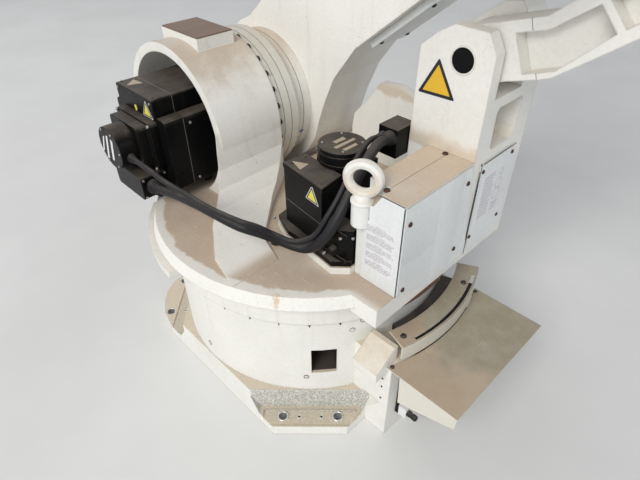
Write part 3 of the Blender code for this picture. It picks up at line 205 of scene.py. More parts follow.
# Broad and fine changes of tone, roughness and height.
tone = plus(ramp(broad, 0.2, 0.8, 0.93, 1.03), ramp(fine, 0.2, 0.8, -0.03, 0.03))
colour = shader_step("HueSaturation", {"Color": colour, "Value": tone}).outputs[0]
rough = plus(given["Roughness"], plus(times(settled, 0.35), times(rust, 0.3)))
rough = plus(rough, ramp(patchy, 0.2, 0.8, -0.06, 0.08))
height = plus(times(fine, given["Grain"]), times(rust, 0.6))
rounding = vector_step("SUBTRACT", rounded, place["Normal"])[0]
rounding = shader_step("VectorTransform", {0: rounding}, vector_type="VECTOR", convert_from="OBJECT",
                       convert_to="WORLD").outputs[0]
leaving = weather.nodes.new("NodeGroupOutput").inputs
for name, value in (("Colour", colour), ("Roughness", rough), ("Height", height), ("Rounding", rounding)):
    feed(value, leaving[name])


def finish(name, paint, metallic=0.0, bump=0.25, specular=0.5, **given_values):
    """A worn workshop finish over one paint or metal."""
    material = bpy.data.materials.new(name)
    material.use_nodes = True
    material.diffuse_color = (*paint, 1)
    tree = material.node_tree
    shader = tree.nodes["Principled BSDF"]
    group = tree.nodes.new("ShaderNodeGroup")
    group.node_tree = weather
    group.inputs["Paint"].default_value = (*paint, 1)
    for key, value in given_values.items():
        socket = group.inputs[key.replace("_", " ").capitalize()]
        socket.default_value = (*value, 1) if isinstance(value, tuple) else value
    shader.inputs["Metallic"].default_value = metallic
    shader.inputs["Specular IOR Level"].default_value = specular
    feed(group.outputs["Colour"], shader.inputs["Base Color"])
    feed(group.outputs["Roughness"], shader.inputs["Roughness"])
    soft = shader_step("Bevel", {"Radius": group.inputs["Edge width"].default_value}, tree, samples=4)
    turned_face = vector_step("ADD", soft.outputs[0], group.outputs["Rounding"])[0]
    relief = shader_step("Bump", {"Strength": bump, "Distance": 0.001, "Height": group.outputs["Height"],
                                  "Normal": turned_face})
    feed(relief.outputs[0], shader.inputs["Normal"])
    return material


def opened(look):
    """A finish's weather group, and the object's places to steer it by."""
    tree = look.node_tree
    return next(n for n in tree.nodes if n.type == "GROUP"), tree.nodes.new("ShaderNodeTexCoord").outputs


def stained(look, share, stain_colour):
    """Turns a finish to another colour by a share that changes over the surface."""
    group, _ = opened(look)
    feed(blended(share, group.outputs["Colour"], stain_colour),
         look.node_tree.nodes["Principled BSDF"].inputs["Base Color"])


def coat(look, names):
    """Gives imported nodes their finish; their meshes stay as they are."""
    for name in names.split():
        for held in nodes[name].material_slots:
            held.material = look


def smooth_route(points, fine=6):
    """A smooth line through the points."""
    pts = [Vector(p) for p in points]
    pts = [pts[0] * 2 - pts[1]] + pts + [pts[-1] * 2 - pts[-2]]
    line = []
    for a, b, c, d in zip(pts, pts[1:], pts[2:], pts[3:]):
        for i in range(fine):
            t = i / fine
            line.append((2 * b + (c - a) * t + (2 * a - 5 * b + 4 * c - d) * t ** 2
                         + (3 * b - a - 3 * c + d) * t ** 3) / 2)
    return line + [pts[-2]]


def dress(thing, look, body):
    """Gives a made piece its finish and the body it rides on."""
    if look is not None:
        thing.data.materials.clear()
        thing.data.materials.append(look)
    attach(thing, body)
    return thing


def shell_from(bm, name, smooth=True):
    """An object from a closed mesh, its faces outwards."""
    bmesh.ops.recalc_face_normals(bm, faces=bm.faces)
    mesh = bpy.data.meshes.new(name)
    bm.to_mesh(mesh)
    bm.free()
    for face in mesh.polygons:
        face.use_smooth = smooth
    if smooth:
        mesh.set_sharp_from_angle(angle=math.radians(35))
    thing = bpy.data.objects.new(name, mesh)
    stage.collection.objects.link(thing)
    return thing


def made(bm, name, look, body, smooth=True):
    """A finished piece from a closed mesh."""
    return dress(shell_from(bm, name, smooth), look, body)


def lathe(bm, origin, axis, profile, steps=32):
    """Adds a closed solid of revolution: (radius, distance along the axis) from end to end."""
    axis = Vector(axis).normalized()
    side = axis.orthogonal().normalized()
    other = axis.cross(side)
    rings = []
    for radius, far in profile:
        middle = Vector(origin) + axis * far
        if radius < 1e-6:
            rings.append([bm.verts.new(middle)])
        else:
            rings.append([bm.verts.new(middle + (side * math.cos(a) + other * math.sin(a)) * radius)
                          for a in (2 * math.pi * i / steps for i in range(steps))])
    for low, high in zip(rings, rings[1:]):
        for i in range(steps):
            j = (i + 1) % steps
            corners = [low[i % len(low)], low[j % len(low)], high[j % len(high)], high[i % len(high)]]
            kept = list(dict.fromkeys(corners))
            if len(kept) > 2:
                bm.faces.new(kept)


rubber = finish("black_rubber", (0.012, 0.012, 0.014), specular=0.3, dust_level=0.35, specks=0.0, rust=0.0,
                runs=0.05, grain=0.8, roughness=0.5, edge_width=0.001, dust=(0.10, 0.085, 0.075), edge_level=0.0)
POWER_ROUTE = [(0.2692, 0.352, 0.566), (0.248, 0.352, 0.566), (0.2224, 0.354, 0.574), (0.165, 0.350, 0.5864),
               (0.098, 0.350, 0.600), (0.030, 0.350, 0.612), (-0.036, 0.350, 0.6207), (-0.1157, 0.340, 0.622),
               (-0.1498, 0.308, 0.6034), (-0.172, 0.275, 0.578), (-0.2086, 0.250, 0.5631), (-0.2448, 0.236, 0.5700),
               (-0.284, 0.228, 0.6150), (-0.300, 0.204, 0.664), (-0.297, 0.160, 0.710), (-0.285, 0.110, 0.745),
               (-0.268, 0.050, 0.768), (-0.258, 0.016, 0.769), (-0.254, -0.008, 0.764), (-0.254, -0.0290, 0.7635)]
SIGNAL_ROUTE = [(0.2895, 0.385, 0.660), (0.272, 0.385, 0.660), (0.240, 0.387, 0.663), (0.190, 0.383, 0.658),
                (0.142, 0.375, 0.644), (0.0524, 0.362, 0.6357), (-0.045, 0.362, 0.6450), (-0.1328, 0.350, 0.650),
                (-0.162, 0.322, 0.634), (-0.180, 0.290, 0.605), (-0.220, 0.262, 0.590), (-0.258, 0.234, 0.612),
                (-0.274, 0.205, 0.662), (-0.275, 0.165, 0.705), (-0.262, 0.115, 0.745), (-0.247, 0.062, 0.768),
                (-0.234, 0.022, 0.769), (-0.232, -0.010, 0.7645), (-0.232, -0.0290, 0.764)]
for name, route, radius, relief_length in (("power_cable_run", POWER_ROUTE, 0.0125, 0.045),
                                           ("signal_cable_run", SIGNAL_ROUTE, 0.007, 0.030)):
    line = smooth_route(route)
    curve = bpy.data.curves.new(name, "CURVE")
    curve.dimensions = "3D"
    curve.bevel_depth = radius
    curve.bevel_resolution = 5
    curve.use_fill_caps = True
    spline = curve.splines.new("POLY")
    spline.points.add(len(line) - 1)
    for point, at in zip(spline.points, line):
        point.co = (*at, 1)
    cable = bpy.data.objects.new(name, curve)
    stage.collection.objects.link(cable)
    dress(cable, rubber, "column")
    bm = bmesh.new()
    start, heading = line[0], (line[1] - line[0]).normalized()
    sleeve = [(0, 0.0), (radius * 1.75, 0.0), (radius * 1.75, relief_length * 0.18)]
    for rib in range(4):
        far = relief_length * (0.22 + 0.18 * rib)
        wide = radius * (1.62 - 0.12 * rib)
        sleeve += [(wide, far), (wide, far + relief_length * 0.09),
                   (wide - radius * 0.13, far + relief_length * 0.11),
                   (wide - radius * 0.13, far + relief_length * 0.16)]
    sleeve += [(radius * 1.08, relief_length), (0, relief_length)]
    lathe(bm, start, heading, sleeve)
    relief = made(bm, name.replace("run", "relief"), rubber, "column")
    bm = bmesh.new()
    end, leaving_way = line[-1], (line[-2] - line[-1]).normalized()
    lathe(bm, end, leaving_way, [(0, 0.0), (radius * 1.5, 0.0), (radius * 1.5, 0.008), (radius * 1.3, 0.011),
                                 (radius * 1.12, 0.024), (0, 0.024)])
    gland = made(bm, name.replace("run", "gland"), rubber, "column")
    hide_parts(name.replace("_run", ""))

# ---- Floor and soft studio light. A plain pale floor, a large lamp high on the
# arm's left, a weak one behind and one in front, in a pale surround.
bm = bmesh.new()
bmesh.ops.create_grid(bm, x_segments=24, y_segments=24, size=9.0)
for vert in bm.verts:
    vert.co.z = -0.001
floor = shell_from(bm, "studio_floor", smooth=False)
floor_paint = bpy.data.materials.new("studio_floor_paint")
floor_paint.use_nodes = True
floor_shader = floor_paint.node_tree.nodes["Principled BSDF"]
floor_place = floor_paint.node_tree.nodes.new("ShaderNodeTexCoord").outputs["Object"]
floor_tone = ramp(noise(floor_place, 2.0), 0.3, 0.7)
feed(blended(floor_tone, (0.68, 0.68, 0.67, 1), (0.72, 0.72, 0.71, 1)), floor_shader.inputs["Base Color"])
floor_shader.inputs["Roughness"].default_value = 0.7
floor.data.materials.append(floor_paint)
for name, at, size, watts, tint in (("key_lamp", (-2.8, 9.2, 8.4), 6.0, 1060, (1.0, 0.985, 0.95)),
                                    ("rear_lamp", (-5.6, -1.6, 3.6), 3.4, 26, (0.86, 0.93, 1.0)),
                                    ("front_lamp", (4.6, 0.6, 4.6), 3.4, 50, (1.0, 1.0, 1.0))):
    lamp = bpy.data.lights.new(name, "AREA")
    lamp.size = size
    lamp.energy = watts
    lamp.color = tint
    held = bpy.data.objects.new(name, lamp)
    held.location = at
    held.rotation_euler = (Vector((0, 0, 0.7)) - Vector(at)).to_track_quat("-Z", "Y").to_euler()
    stage.collection.objects.link(held)
world = bpy.data.worlds.new("studio")
stage.world = world
world.use_nodes = True
sky = world.node_tree
sky.nodes["Background"].inputs["Color"].default_value = (0.93, 0.95, 1.0, 1)
seen = sky.nodes.new("ShaderNodeLightPath").outputs
sky_sight = plus(seen["Is Camera Ray"], seen["Is Glossy Ray"])
feed(ramp(sky_sight, 0.0, 1.0, 0.42, 0.85), sky.nodes["Background"].inputs["Strength"])

# ---- Foot. A white cast foot bolted down through four sunk lugs, each with two
# hardened bushings and two dowel sleeves. A weld lip runs along each lug, and
# pressed plugs close the holes in the round wall.
casting = finish("white_casting_paint", PAINT_WHITE, dust_level=0.92, specks=0.55, rust=0.35, runs=0.30, grain=0.9,
                 edge_width=0.004)
base_casting = finish("white_base_paint", PAINT_WHITE, dust_level=0.90, specks=0.75, rust=0.30, runs=0.35, grain=0.9,
                      edge_width=0.004, dust=(0.60, 0.51, 0.38))
bare_steel = finish("bare_steel", (0.50, 0.49, 0.47), metallic=0.9, dust_level=0.3, specks=0.2, rust=0.25, grain=0.4,
                    roughness=0.3, edge_width=0.0008, dust=(0.35, 0.30, 0.24))
bushing_steel = finish("bushing_steel", (0.72, 0.71, 0.69), metallic=0.8, dust_level=0.0, specks=0.1, rust=0.15,
                       grain=0.2, roughness=0.28, edge_width=0.0006)
# Near-black finish: painted shade in gaps, notches, drilled holes and the window pocket, and the black oil plug.
shade_and_plug_black = finish("shade_and_plug_black", (0.012, 0.011, 0.010), dust_level=0.1, specks=0.0, rust=0.1, grain=0.2,
                     roughness=0.7, edge_width=0.0002, edge_level=0.0)
coat(base_casting, "base_frame")
coat(bare_steel, "slew_bearing")
LUG_EDGE = 0.6665                  # x and y together at the lug's cut corner
LUG_SIDE = 0.4105
# Grit lies thick on the sunk lugs; their upright backs are darkened further as painted shade of the recesses.
group, place = opened(base_casting)
foot_spot = place["Object"]
foot_low = ramp(part_of(foot_spot, 2), 0.125, 0.108)
foot_tilt = part_of(place["Normal"], 2)
foot_sides = vector_step("ABSOLUTE", foot_spot)[0]
foot_x, foot_y = part_of(foot_sides, 0), part_of(foot_sides, 1)
foot_out = plus(foot_x, foot_y)
foot_wide = shader_step("Math", {0: foot_x, 1: foot_y}, operation="MAXIMUM").outputs[0]
in_lug = times(times(foot_low, ramp(foot_out, LUG_EDGE + 0.001, LUG_EDGE - 0.001)),
               ramp(foot_wide, LUG_SIDE + 0.001, LUG_SIDE - 0.001))
feed(ramp(in_lug, 0.0, 1.0, 0.15, 1.0), group.inputs["Specks"])
grit_and_recess_shade = times(times(in_lug, ramp(noise(foot_spot, 330.0, 2.0), 0.36, 0.60)),
                  ramp(foot_tilt, 0.4, 0.9, 0.80, 0.38))
stained(base_casting, grit_and_recess_shade, (0.24, 0.23, 0.19, 1))

UP, LEFT, BACK = (0, 0, 1), (0, 1, 0), (-1, 0, 0)
LUGS = (45, 135, 225, 315)         # degrees round the foot
FRONT_LUG_SWING = {45: -4.8, 315: 4.8}
BOLT_OUT = 0.4445
FRONT_BOLT_OUT = 0.4913
BOLT_SPREAD = 0.078
DOWEL_OUT = 0.444
DOWEL_SPREAD = 0.0316
LUG_FLOOR = Vector((0, 0, 0.032))
LIP_MIDDLE = Vector((0, 0, 0.0352))
LIP_OUT = 0.4262
WALL_FACE = 0.4113
WALL_PLUGS = ((154.7, 0.373, 0.6), (150.8, 0.346, 1.0), (133.8, 0.172, 0.8), (88.8, 0.164, 0.8),
              (70, 0.346, 1.0), (28, 0.172, 0.8), (-62, 0.346, 1.0), (-120, 0.172, 0.8))


def around(degrees, radius=1.0, z=0.0):
    """A point on a circle about the upright axis."""
    return Vector((radius * math.cos(math.radians(degrees)), radius * math.sin(math.radians(degrees)), z))


def beside(way):
    """The level direction square to a level one."""
    return Vector((-way.y, way.x, 0))


def rounded_outline(points, radius, steps=4):
    """A polygon with its corners cut round."""
    out = []
    count = len(points)
    for i, p in enumerate(points):
        p = Vector(p)
        a, b = Vector(points[i - 1]), Vector(points[(i + 1) % count])
        p0, p1 = p + (a - p).normalized() * radius, p + (b - p).normalized() * radius
        for k in range(steps + 1):
            t = k / steps
            out.append(tuple((p0 * (1 - t) + p * t) * (1 - t) + (p * (1 - t) + p1 * t) * t))
    return out


def band(bm, low, high):
    """Joins two rings of points by a band of faces."""
    return [bm.faces.new((a, b, d, c)) for a, b, c, d in zip(low, low[1:] + low[:1], high, high[1:] + high[:1])]


def prism(bm, origin, u, v, outline, bottom, top):
    """Adds an outline in the u, v plane, thick from bottom to top; gives its faces."""
    n = u.cross(v).normalized()
    low, high = ([bm.verts.new(Vector(origin) + u * a + v * b + n * far) for a, b in outline]
                 for far in (bottom, top))
    return [bm.faces.new(low[::-1]), bm.faces.new(high)] + band(bm, low, high)


def brick(bm, middle, along, across, upward, sizes, round_by=0.0):
    """Adds a box about a middle, turned to three directions, its upright edges cut."""
    along, across, upward = (Vector(v).normalized() for v in (along, across, upward))
    half = [s / 2 for s in sizes]
    cut = max(min(round_by, half[0] * 0.9, half[1] * 0.9), 1e-5)
    plan = rounded_outline([(-half[0], -half[1]), (half[0], -half[1]), (half[0], half[1]), (-half[0], half[1])],
                           cut, 3)
    low = [bm.verts.new(Vector(middle) + along * a + across * b - upward * half[2]) for a, b in plan]
    high = [bm.verts.new(Vector(middle) + along * a + across * b + upward * half[2]) for a, b in plan]
    bm.faces.new(low[::-1])
    bm.faces.new(high)
    band(bm, low, high)


def sleeve_ring(bm, origin, axis, inner, outer, low, high, lip=0.0):
    """A short tube about an axis; its outer lip stands a little proud."""
    axis = Vector(axis).normalized()
    side = axis.orthogonal().normalized()
    other = axis.cross(side)
    loop = [(inner, low), (inner, high - 0.0008), (inner + 0.0008, high), (outer - 0.0008, high),
            (outer, high - 0.0008), (outer, -lip), (inner + 0.0002, -lip), (inner + 0.0002, low)]
    steps = 32 if outer < 0.1 else 144
    rings = [[bm.verts.new(Vector(origin) + axis * far + (side * math.cos(a) + other * math.sin(a)) * radius)
              for a in (2 * math.pi * i / steps for i in range(steps))] for radius, far in loop]
    for ring, after in zip(rings, rings[1:] + rings[:1]):
        band(bm, ring, after)


bm = bmesh.new()
for lug in LUGS:
    bolt_way, dowel_way = around(lug + FRONT_LUG_SWING.get(lug, 0)), around(lug)
    reach = FRONT_BOLT_OUT if lug in FRONT_LUG_SWING else BOLT_OUT
    for side in (-1, 1):
        sleeve_ring(bm, bolt_way * reach + beside(bolt_way) * (side * BOLT_SPREAD) + LUG_FLOOR, UP,
                    0.0118, 0.0162, -0.028, 0.0040, 0.001)
        sleeve_ring(bm, dowel_way * DOWEL_OUT + beside(dowel_way) * (side * DOWEL_SPREAD) + LUG_FLOOR, UP,
                    0.0038, 0.0062, -0.020, 0.0008, 0.0005)
made(bm, "foot_bushings", bushing_steel, "base")
bm = bmesh.new()
for lug in LUGS:
    brick(bm, around(lug, LIP_OUT) + LIP_MIDDLE, beside(around(lug)), around(lug), UP,
          (0.262, 0.0034, 0.0070), 0.0015)
made(bm, "lug_lips", base_casting, "base")

# One Geometry Nodes tree sets every screw and plug: a head on each point, turned
# to the point's facing and sized by its share.
setter = bpy.data.node_groups.new("fastener_setter", "GeometryNodeTree")
for name, kind in (("Places", "NodeSocketGeometry"), ("Head", "NodeSocketObject"), ("Size", "NodeSocketFloat"),
                   ("Finish", "NodeSocketMaterial")):
    setter.interface.new_socket(name, in_out="INPUT", socket_type=kind)
setter.interface.new_socket("Fasteners", in_out="OUTPUT", socket_type="NodeSocketGeometry")
asked = setter.nodes.new("NodeGroupInput").outputs
toward = node_step(setter, "GeometryNodeInputNamedAttribute", {"Name": "toward"}, data_type="FLOAT_VECTOR").outputs[0]
share = node_step(setter, "GeometryNodeInputNamedAttribute", {"Name": "share"}, data_type="FLOAT").outputs[0]
turn = node_step(setter, "FunctionNodeAlignRotationToVector", {"Vector": toward}, axis="Z").outputs[0]
grow = times(share, asked["Size"])
head = node_step(setter, "GeometryNodeObjectInfo", {"Object": asked["Head"]}).outputs["Geometry"]
heads = node_step(setter, "GeometryNodeInstanceOnPoints",
                  {"Points": asked["Places"], "Instance": head, "Rotation": turn, "Scale": grow}).outputs[0]
real = node_step(setter, "GeometryNodeRealizeInstances", {0: heads}).outputs[0]
painted = node_step(setter, "GeometryNodeSetMaterial", {"Geometry": real, "Material": asked["Finish"]}).outputs[0]
node_step(setter, "NodeGroupOutput", {0: painted})


def head_shape(name, profile, socket_sides=0, socket_wide=0.5, socket_deep=0.4, sides=20):
    """A head of unit radius standing on the face; a socket has flat sides."""
    bm = bmesh.new()
    turns = [2 * math.pi * i / sides for i in range(sides)]
    rings = [[bm.verts.new((r * math.cos(a), r * math.sin(a), z)) for a in turns] for r, z in profile]
    if socket_sides:
        flat = math.pi / socket_sides
        top = profile[-1][1]
        reach = [socket_wide * math.cos(flat) / math.cos((a + flat) % (2 * flat) - flat) for a in turns]
        for z in (top, top - socket_deep):
            rings.append([bm.verts.new((r * math.cos(a), r * math.sin(a), z)) for r, a in zip(reach, turns)])
    for low, high in zip(rings, rings[1:]):
        band(bm, low, high)
    bm.faces.new(rings[0][::-1])
    bm.faces.new(rings[-1])
    return shell_from(bm, name)


plug_head = head_shape("plug_head", [(1.0, -0.15), (1.0, 0.10), (0.85, 0.22), (0.55, 0.20), (0.50, 0.10)], sides=20)


def set_fasteners(name, body, head, size, look, places):
    """Sets a head at each place: (point, facing) or (point, facing, share of the size)."""
    mesh = bpy.data.meshes.new(name)
    mesh.from_pydata([p[0] for p in places], [], [])
    ways = [c for p in places for c in p[1]]
    mesh.attributes.new("toward", "FLOAT_VECTOR", "POINT").data.foreach_set("vector", ways)
    shares = [p[2] if len(p) > 2 else 1.0 for p in places]
    mesh.attributes.new("share", "FLOAT", "POINT").data.foreach_set("value", shares)
    thing = bpy.data.objects.new(name, mesh)
    stage.collection.objects.link(thing)
    modifier = thing.modifiers.new("setter", "NODES")
    modifier.node_group = setter
    for item in setter.interface.items_tree:
        if item.item_type == "SOCKET" and item.in_out == "INPUT":
            value = {"Head": head, "Size": size, "Finish": look}.get(item.name)
            if value is not None:
                modifier[item.identifier] = value
    bpy.context.view_layer.update()
    solid = bpy.data.meshes.new_from_object(thing.evaluated_get(bpy.context.evaluated_depsgraph_get()))
    thing.modifiers.clear()
    thing.data = solid
    return dress(thing, None, body)


set_fasteners("wall_plugs", "base", plug_head, 0.0065, casting,
              [(around(angle, WALL_FACE, z), around(angle), share) for angle, z, share in WALL_PLUGS])
# A thin near-black ring round each plug is painted shadow in its gap.
bm = bmesh.new()
for angle, z, _ in WALL_PLUGS:
    sleeve_ring(bm, around(angle, WALL_FACE - 0.0001, z), around(angle), 0.0062, 0.0076, -0.001, 0.0006, 0.001)
made(bm, "wall_plug_gaps", shade_and_plug_black, "base")
# Small cast notches mark the joint between the wall and the turned plate; their near-black fill is painted shade.
NOTCH_STEP = 10.8
bm = bmesh.new()
for i in range(30):
    angle = 60 + NOTCH_STEP * i
    if 150 < angle % 360 < 210:
        continue
    wide = 0.0062 if i % 3 else 0.0040
    prism(bm, around(angle, 0.4105, 0.3790), beside(around(angle)), Vector(UP),
          [(-wide, 0.0055), (-wide * 0.1, -0.0080), (wide * 0.6, 0.0055)], -0.002, 0.0012)
made(bm, "joint_notches", shade_and_plug_black, "base", smooth=False)

# ---- Window of the foot wall. A square pocket cut in the casting, lined inside with
# near-black sheet as painted shade. A rusty bracket and block of the turning stop are
# bolted behind it.
rusty_band = finish("rusty_band_steel", (0.16, 0.075, 0.045), metallic=0.2, dust_level=0.4, specks=0.6, rust=0.9,
                    grain=1.0, roughness=0.6, edge_width=0.001, dust=(0.25, 0.18, 0.13))
WINDOW_MIDDLE = Vector((0, 0, 0.236))
POCKET_WIDE, POCKET_TALL, POCKET_DEEP = 0.067, 0.091, 0.080
POCKET_OUT = 0.362                 # from the upright axis to the pocket's middle
STOP_OUT = 0.327
LINING_THICK = 0.0006
window_out = around(140.6)
window_side = beside(window_out)
bm = bmesh.new()
back_place = window_out * STOP_OUT + WINDOW_MIDDLE
brick(bm, back_place + window_side * 0.018, window_side, UP, window_out, (0.020, 0.070, 0.012), 0.003)
brick(bm, back_place + window_side * 0.006 + window_out * 0.012 - Vector((0, 0, 0.020)), window_side, UP,
      window_out, (0.034, 0.024, 0.014), 0.003)
made(bm, "window_stop", rusty_band, "base")
bm = bmesh.new()
brick(bm, window_out * 0.3214 + WINDOW_MIDDLE, window_side, UP, window_out, (POCKET_WIDE, POCKET_TALL, LINING_THICK))
for side in (-1, 1):
    brick(bm, window_out * POCKET_OUT + window_side * (side * 0.0336) + WINDOW_MIDDLE, window_out, UP, window_side,
          (POCKET_DEEP, POCKET_TALL, LINING_THICK))
for z in (0.1904, 0.2816):
    brick(bm, window_out * POCKET_OUT + Vector((0, 0, z)), window_out, window_side, UP,
          (POCKET_DEEP, POCKET_WIDE, LINING_THICK))
made(bm, "window_lining", shade_and_plug_black, "base", smooth=False)

# ---- Cable guard and lid. Folded cream sheet, the guard's tray over a rubber
# seal and a rusty steel band. Dark button screws hold both down on the neck.
greige_paint = finish("cream_sheet_paint", (0.73, 0.70, 0.62), dust_level=1.0, specks=0.3, rust=0.08, runs=0.15,
                      grain=0.4, roughness=0.36, edge_width=0.002, dust=(0.30, 0.26, 0.185),
                      edge=(0.75, 0.72, 0.62), edge_level=0.8)
screw_dark = finish("dark_screw_steel", (0.045, 0.042, 0.040), metallic=0.7, dust_level=0.3, specks=0.0, rust=0.15,
                    grain=0.4, roughness=0.38, edge_width=0.0004, dust=(0.14, 0.12, 0.10))
coat(greige_paint, "base_lid cable_guard")
coat(rubber, "guard_seal grommet")
coat(rusty_band, "cable_band")
# The lid's near half has a second, browner dust.
_, place = opened(greige_paint)
lid_side = plus(part_of(place["Object"], 1), ramp(noise(place["Object"], 9.0), 0.2, 0.8, -0.07, 0.07))
lid_level = ramp(part_of(place["Normal"], 2), 0.85, 0.98)
stained(greige_paint, times(times(ramp(lid_side, 0.03, 0.12), lid_level), 0.62), (0.50, 0.38, 0.27, 1))
GUARD_TOP = 0.350
LID_TOP = 0.300
button_head = head_shape("button_head", [(1.0, -0.15), (1.0, 0.12), (0.86, 0.40), (0.62, 0.55)], 6, 0.42, 0.30, 24)
set_fasteners("guard_screws", "base", button_head, 0.0080, screw_dark,
              [((-0.465, 0.128, GUARD_TOP), UP), ((-0.463, -0.145, GUARD_TOP), UP)])
set_fasteners("lid_screws", "base", button_head, 0.0058, screw_dark,
              [((-0.484, side * 0.189, LID_TOP), UP) for side in (1, -1)])

# ---- Neck and its plugs. The neck is part of the cast foot. A black panel closes
# its back, and two metal plugs with lock levers and a small white one sit on it.
motor_paint = finish("black_motor_paint", (0.0045, 0.0044, 0.0046), specular=0.12, dust_level=0.55, specks=0.0,
                     rust=0.0, runs=0.12, grain=0.5, roughness=0.32, edge_width=0.0025, dust=(0.115, 0.092, 0.075),
                     edge=(0.10, 0.09, 0.08), edge_level=0.35)
coat(motor_paint, "connector_panel")
coat(bare_steel, "power_connector signal_connector")
PANEL_FACE = -0.4953
PLUG_HEIGHT = 0.150
PLUG_BACK = -0.5646
SIDE_PLUG_Y, SIDE_PLUG_Z = 0.1405, 0.0900
set_fasteners("neck_screws", "base", button_head, 0.0032, screw_dark,
              [((-0.460, side * 0.190, z), (0, side, 0)) for side in (-1, 1) for z in (0.232, 0.198, 0.149)])
set_fasteners("panel_screws", "base", button_head, 0.0042, bare_steel,
              [((PANEL_FACE, y, z), BACK) for y in (-0.138, 0.138) for z in (0.082, 0.168, 0.253)])
bm = bmesh.new()
for y in (0.085, -0.075):
    brick(bm, (-0.508, y, PLUG_HEIGHT), LEFT, UP, BACK, (0.086, 0.112, 0.012), 0.006)
    for side in (-1, 1):
        brick(bm, (-0.535, y + side * 0.0405, PLUG_HEIGHT), BACK, UP, LEFT, (0.040, 0.012, 0.004), 0.003)
        brick(bm, (-0.552, y + side * 0.0405, PLUG_HEIGHT), BACK, UP, LEFT, (0.010, 0.060, 0.005), 0.003)
    lathe(bm, (PLUG_BACK, y, PLUG_HEIGHT), BACK, [(0, 0), (0.024, 0), (0.024, 0.010), (0.021, 0.012),
                                                  (0.021, 0.020), (0.013, 0.026), (0.0, 0.026)], 6)
made(bm, "plug_fittings", bare_steel, "base")


def printed(name, colour, **changes):
    """A smooth printed or moulded surface with hardly any wear."""
    look = dict(dust_level=0.1, specks=0.0, rust=0.0, runs=0.0, grain=0.1, roughness=0.35, edge_width=0.0002,
                edge_level=0.0)
    return finish(name, colour, **{**look, **changes})


label_white = printed("label_white", (0.82, 0.82, 0.84), specks=0.1, runs=0.1)
bm = bmesh.new()
brick(bm, (-0.5085, SIDE_PLUG_Y, SIDE_PLUG_Z), BACK, LEFT, UP, (0.0255, 0.0200, 0.0360), 0.002)
made(bm, "side_plug", label_white, "base")
bm = bmesh.new()
lathe(bm, (-0.5205, SIDE_PLUG_Y, SIDE_PLUG_Z), BACK,
      [(0, 0), (0.0090, 0), (0.0090, 0.010), (0.0075, 0.012), (0.0075, 0.017), (0.0085, 0.018), (0.0085, 0.028),
       (0.0060, 0.031), (0, 0.031)], 24)
made(bm, "side_plug_gland", rubber, "base")

# ---- Column casting. The turned plate, its tail and the flared hoop are one white
# casting that turns on the slew bearing. A rusty steel pad is screwed on the hoop.
rusty_pad = finish("rusty_pad_steel", (0.17, 0.115, 0.085), metallic=0.15, dust_level=0.25, specks=0.5, rust=0.6,
                   grain=1.0, roughness=0.6, edge_width=0.001, dust=(0.28, 0.20, 0.15))
coat(casting, "column_casting")
coat(rusty_pad, "arch_pad")
PLATE_LEVEL = 0.510
group, place = opened(casting)
plate_spot = place["Object"]
spot_x, spot_y, spot_z = (part_of(plate_spot, number) for number in range(3))
# The plate's edge is wiped cleaner than its middle.
from_axis = vector_step("LENGTH", vector_step("MULTIPLY", plate_spot, (1, 1, 0))[0])["Value"]
from_axis = plus(from_axis, ramp(noise(plate_spot, 20.0, 4.0), 0.2, 0.8, -0.008, 0.008))
wiped = times(ramp(from_axis, 0.417, 0.430), ramp(spot_y, 0.20, 0.25))
rim_dust = ramp(wiped, 0.0, 1.0, 0.95, 0.28)
above_plate = ramp(spot_z, 0.52, 0.60)
dust_here = plus(times(rim_dust, ramp(above_plate, 0.0, 1.0, 1.0, 0.0)), times(above_plate, 0.85))
# The hoop's leg, which sweeps down on to the plate, has shed its dust.
on_leg = times(times(ramp(spot_z, PLATE_LEVEL + 0.0015, PLATE_LEVEL + 0.0065), ramp(spot_z, 0.78, 0.70)),
               times(ramp(spot_x, 0.215, 0.195), ramp(plus(spot_y, times(spot_x, 0.85)), 0.112, 0.125)))
feed(times(ramp(on_leg, 0.0, 1.0, 1.0, 0.16), dust_here), group.inputs["Dust level"])
# A rust run hangs from the rim.
RUST_RUN = (-0.262, 0.362, 0.492)
stain_spot = vector_step("MULTIPLY", vector_step("SUBTRACT", plate_spot, RUST_RUN)[0], (60, 60, 24))[0]
stain = plus(vector_step("LENGTH", stain_spot)["Value"], ramp(noise(plate_spot, 90.0), 0.2, 0.8, -0.4, 0.4))
stained(casting, times(ramp(stain, 0.9, 0.2), 0.55), (0.62, 0.33, 0.12, 1))

# ---- Axis 2 gear. A turned housing behind the hoop with fine lines round it. Cap
# screws clamp its rim to the hoop, and its oil hole has a plug and a blue tag.
gear_paint = finish("grey_gear_paint", (0.76, 0.75, 0.68), dust_level=0.6, specks=0.5, rust=0.2, grain=0.6,
                    edge_width=0.003, dust=(0.46, 0.40, 0.32))
seam_light = finish("pale_seam", (0.16, 0.15, 0.135), dust_level=0.2, specks=0.0, rust=0.0, grain=0.2,
                    roughness=0.5, edge_width=0.0002, edge_level=0.0)
blue_tag = printed("blue_tag", (0.07, 0.17, 0.42), specks=0.4, runs=0.2, grain=0.2, roughness=0.45)
coat(gear_paint, "axis_2_gear")
GEAR_BOLTS = 30
GEAR_BOLT_RADIUS = 0.2215
cap_head = head_shape("cap_head", [(1.0, -0.15), (1.0, 0.78), (0.90, 0.90)], 6, 0.56, 0.45, 24)
set_fasteners("gear_bolts", "column", cap_head, 0.0085, screw_dark,
              [(GEAR_MIDDLE + Vector((math.cos(a) * GEAR_BOLT_RADIUS, -0.0008, math.sin(a) * GEAR_BOLT_RADIUS)),
                (0, -1, 0)) for a in (math.radians(105 + 360 / GEAR_BOLTS * i) for i in range(GEAR_BOLTS))])
bm = bmesh.new()
for y in (-0.024, -0.052):
    sleeve_ring(bm, GEAR_MIDDLE + Vector((0, y, 0)), LEFT, 0.2172, 0.2206, -0.0008, 0.0008, 0.0008)
made(bm, "gear_lines", seam_light, "column")
bm = bmesh.new()
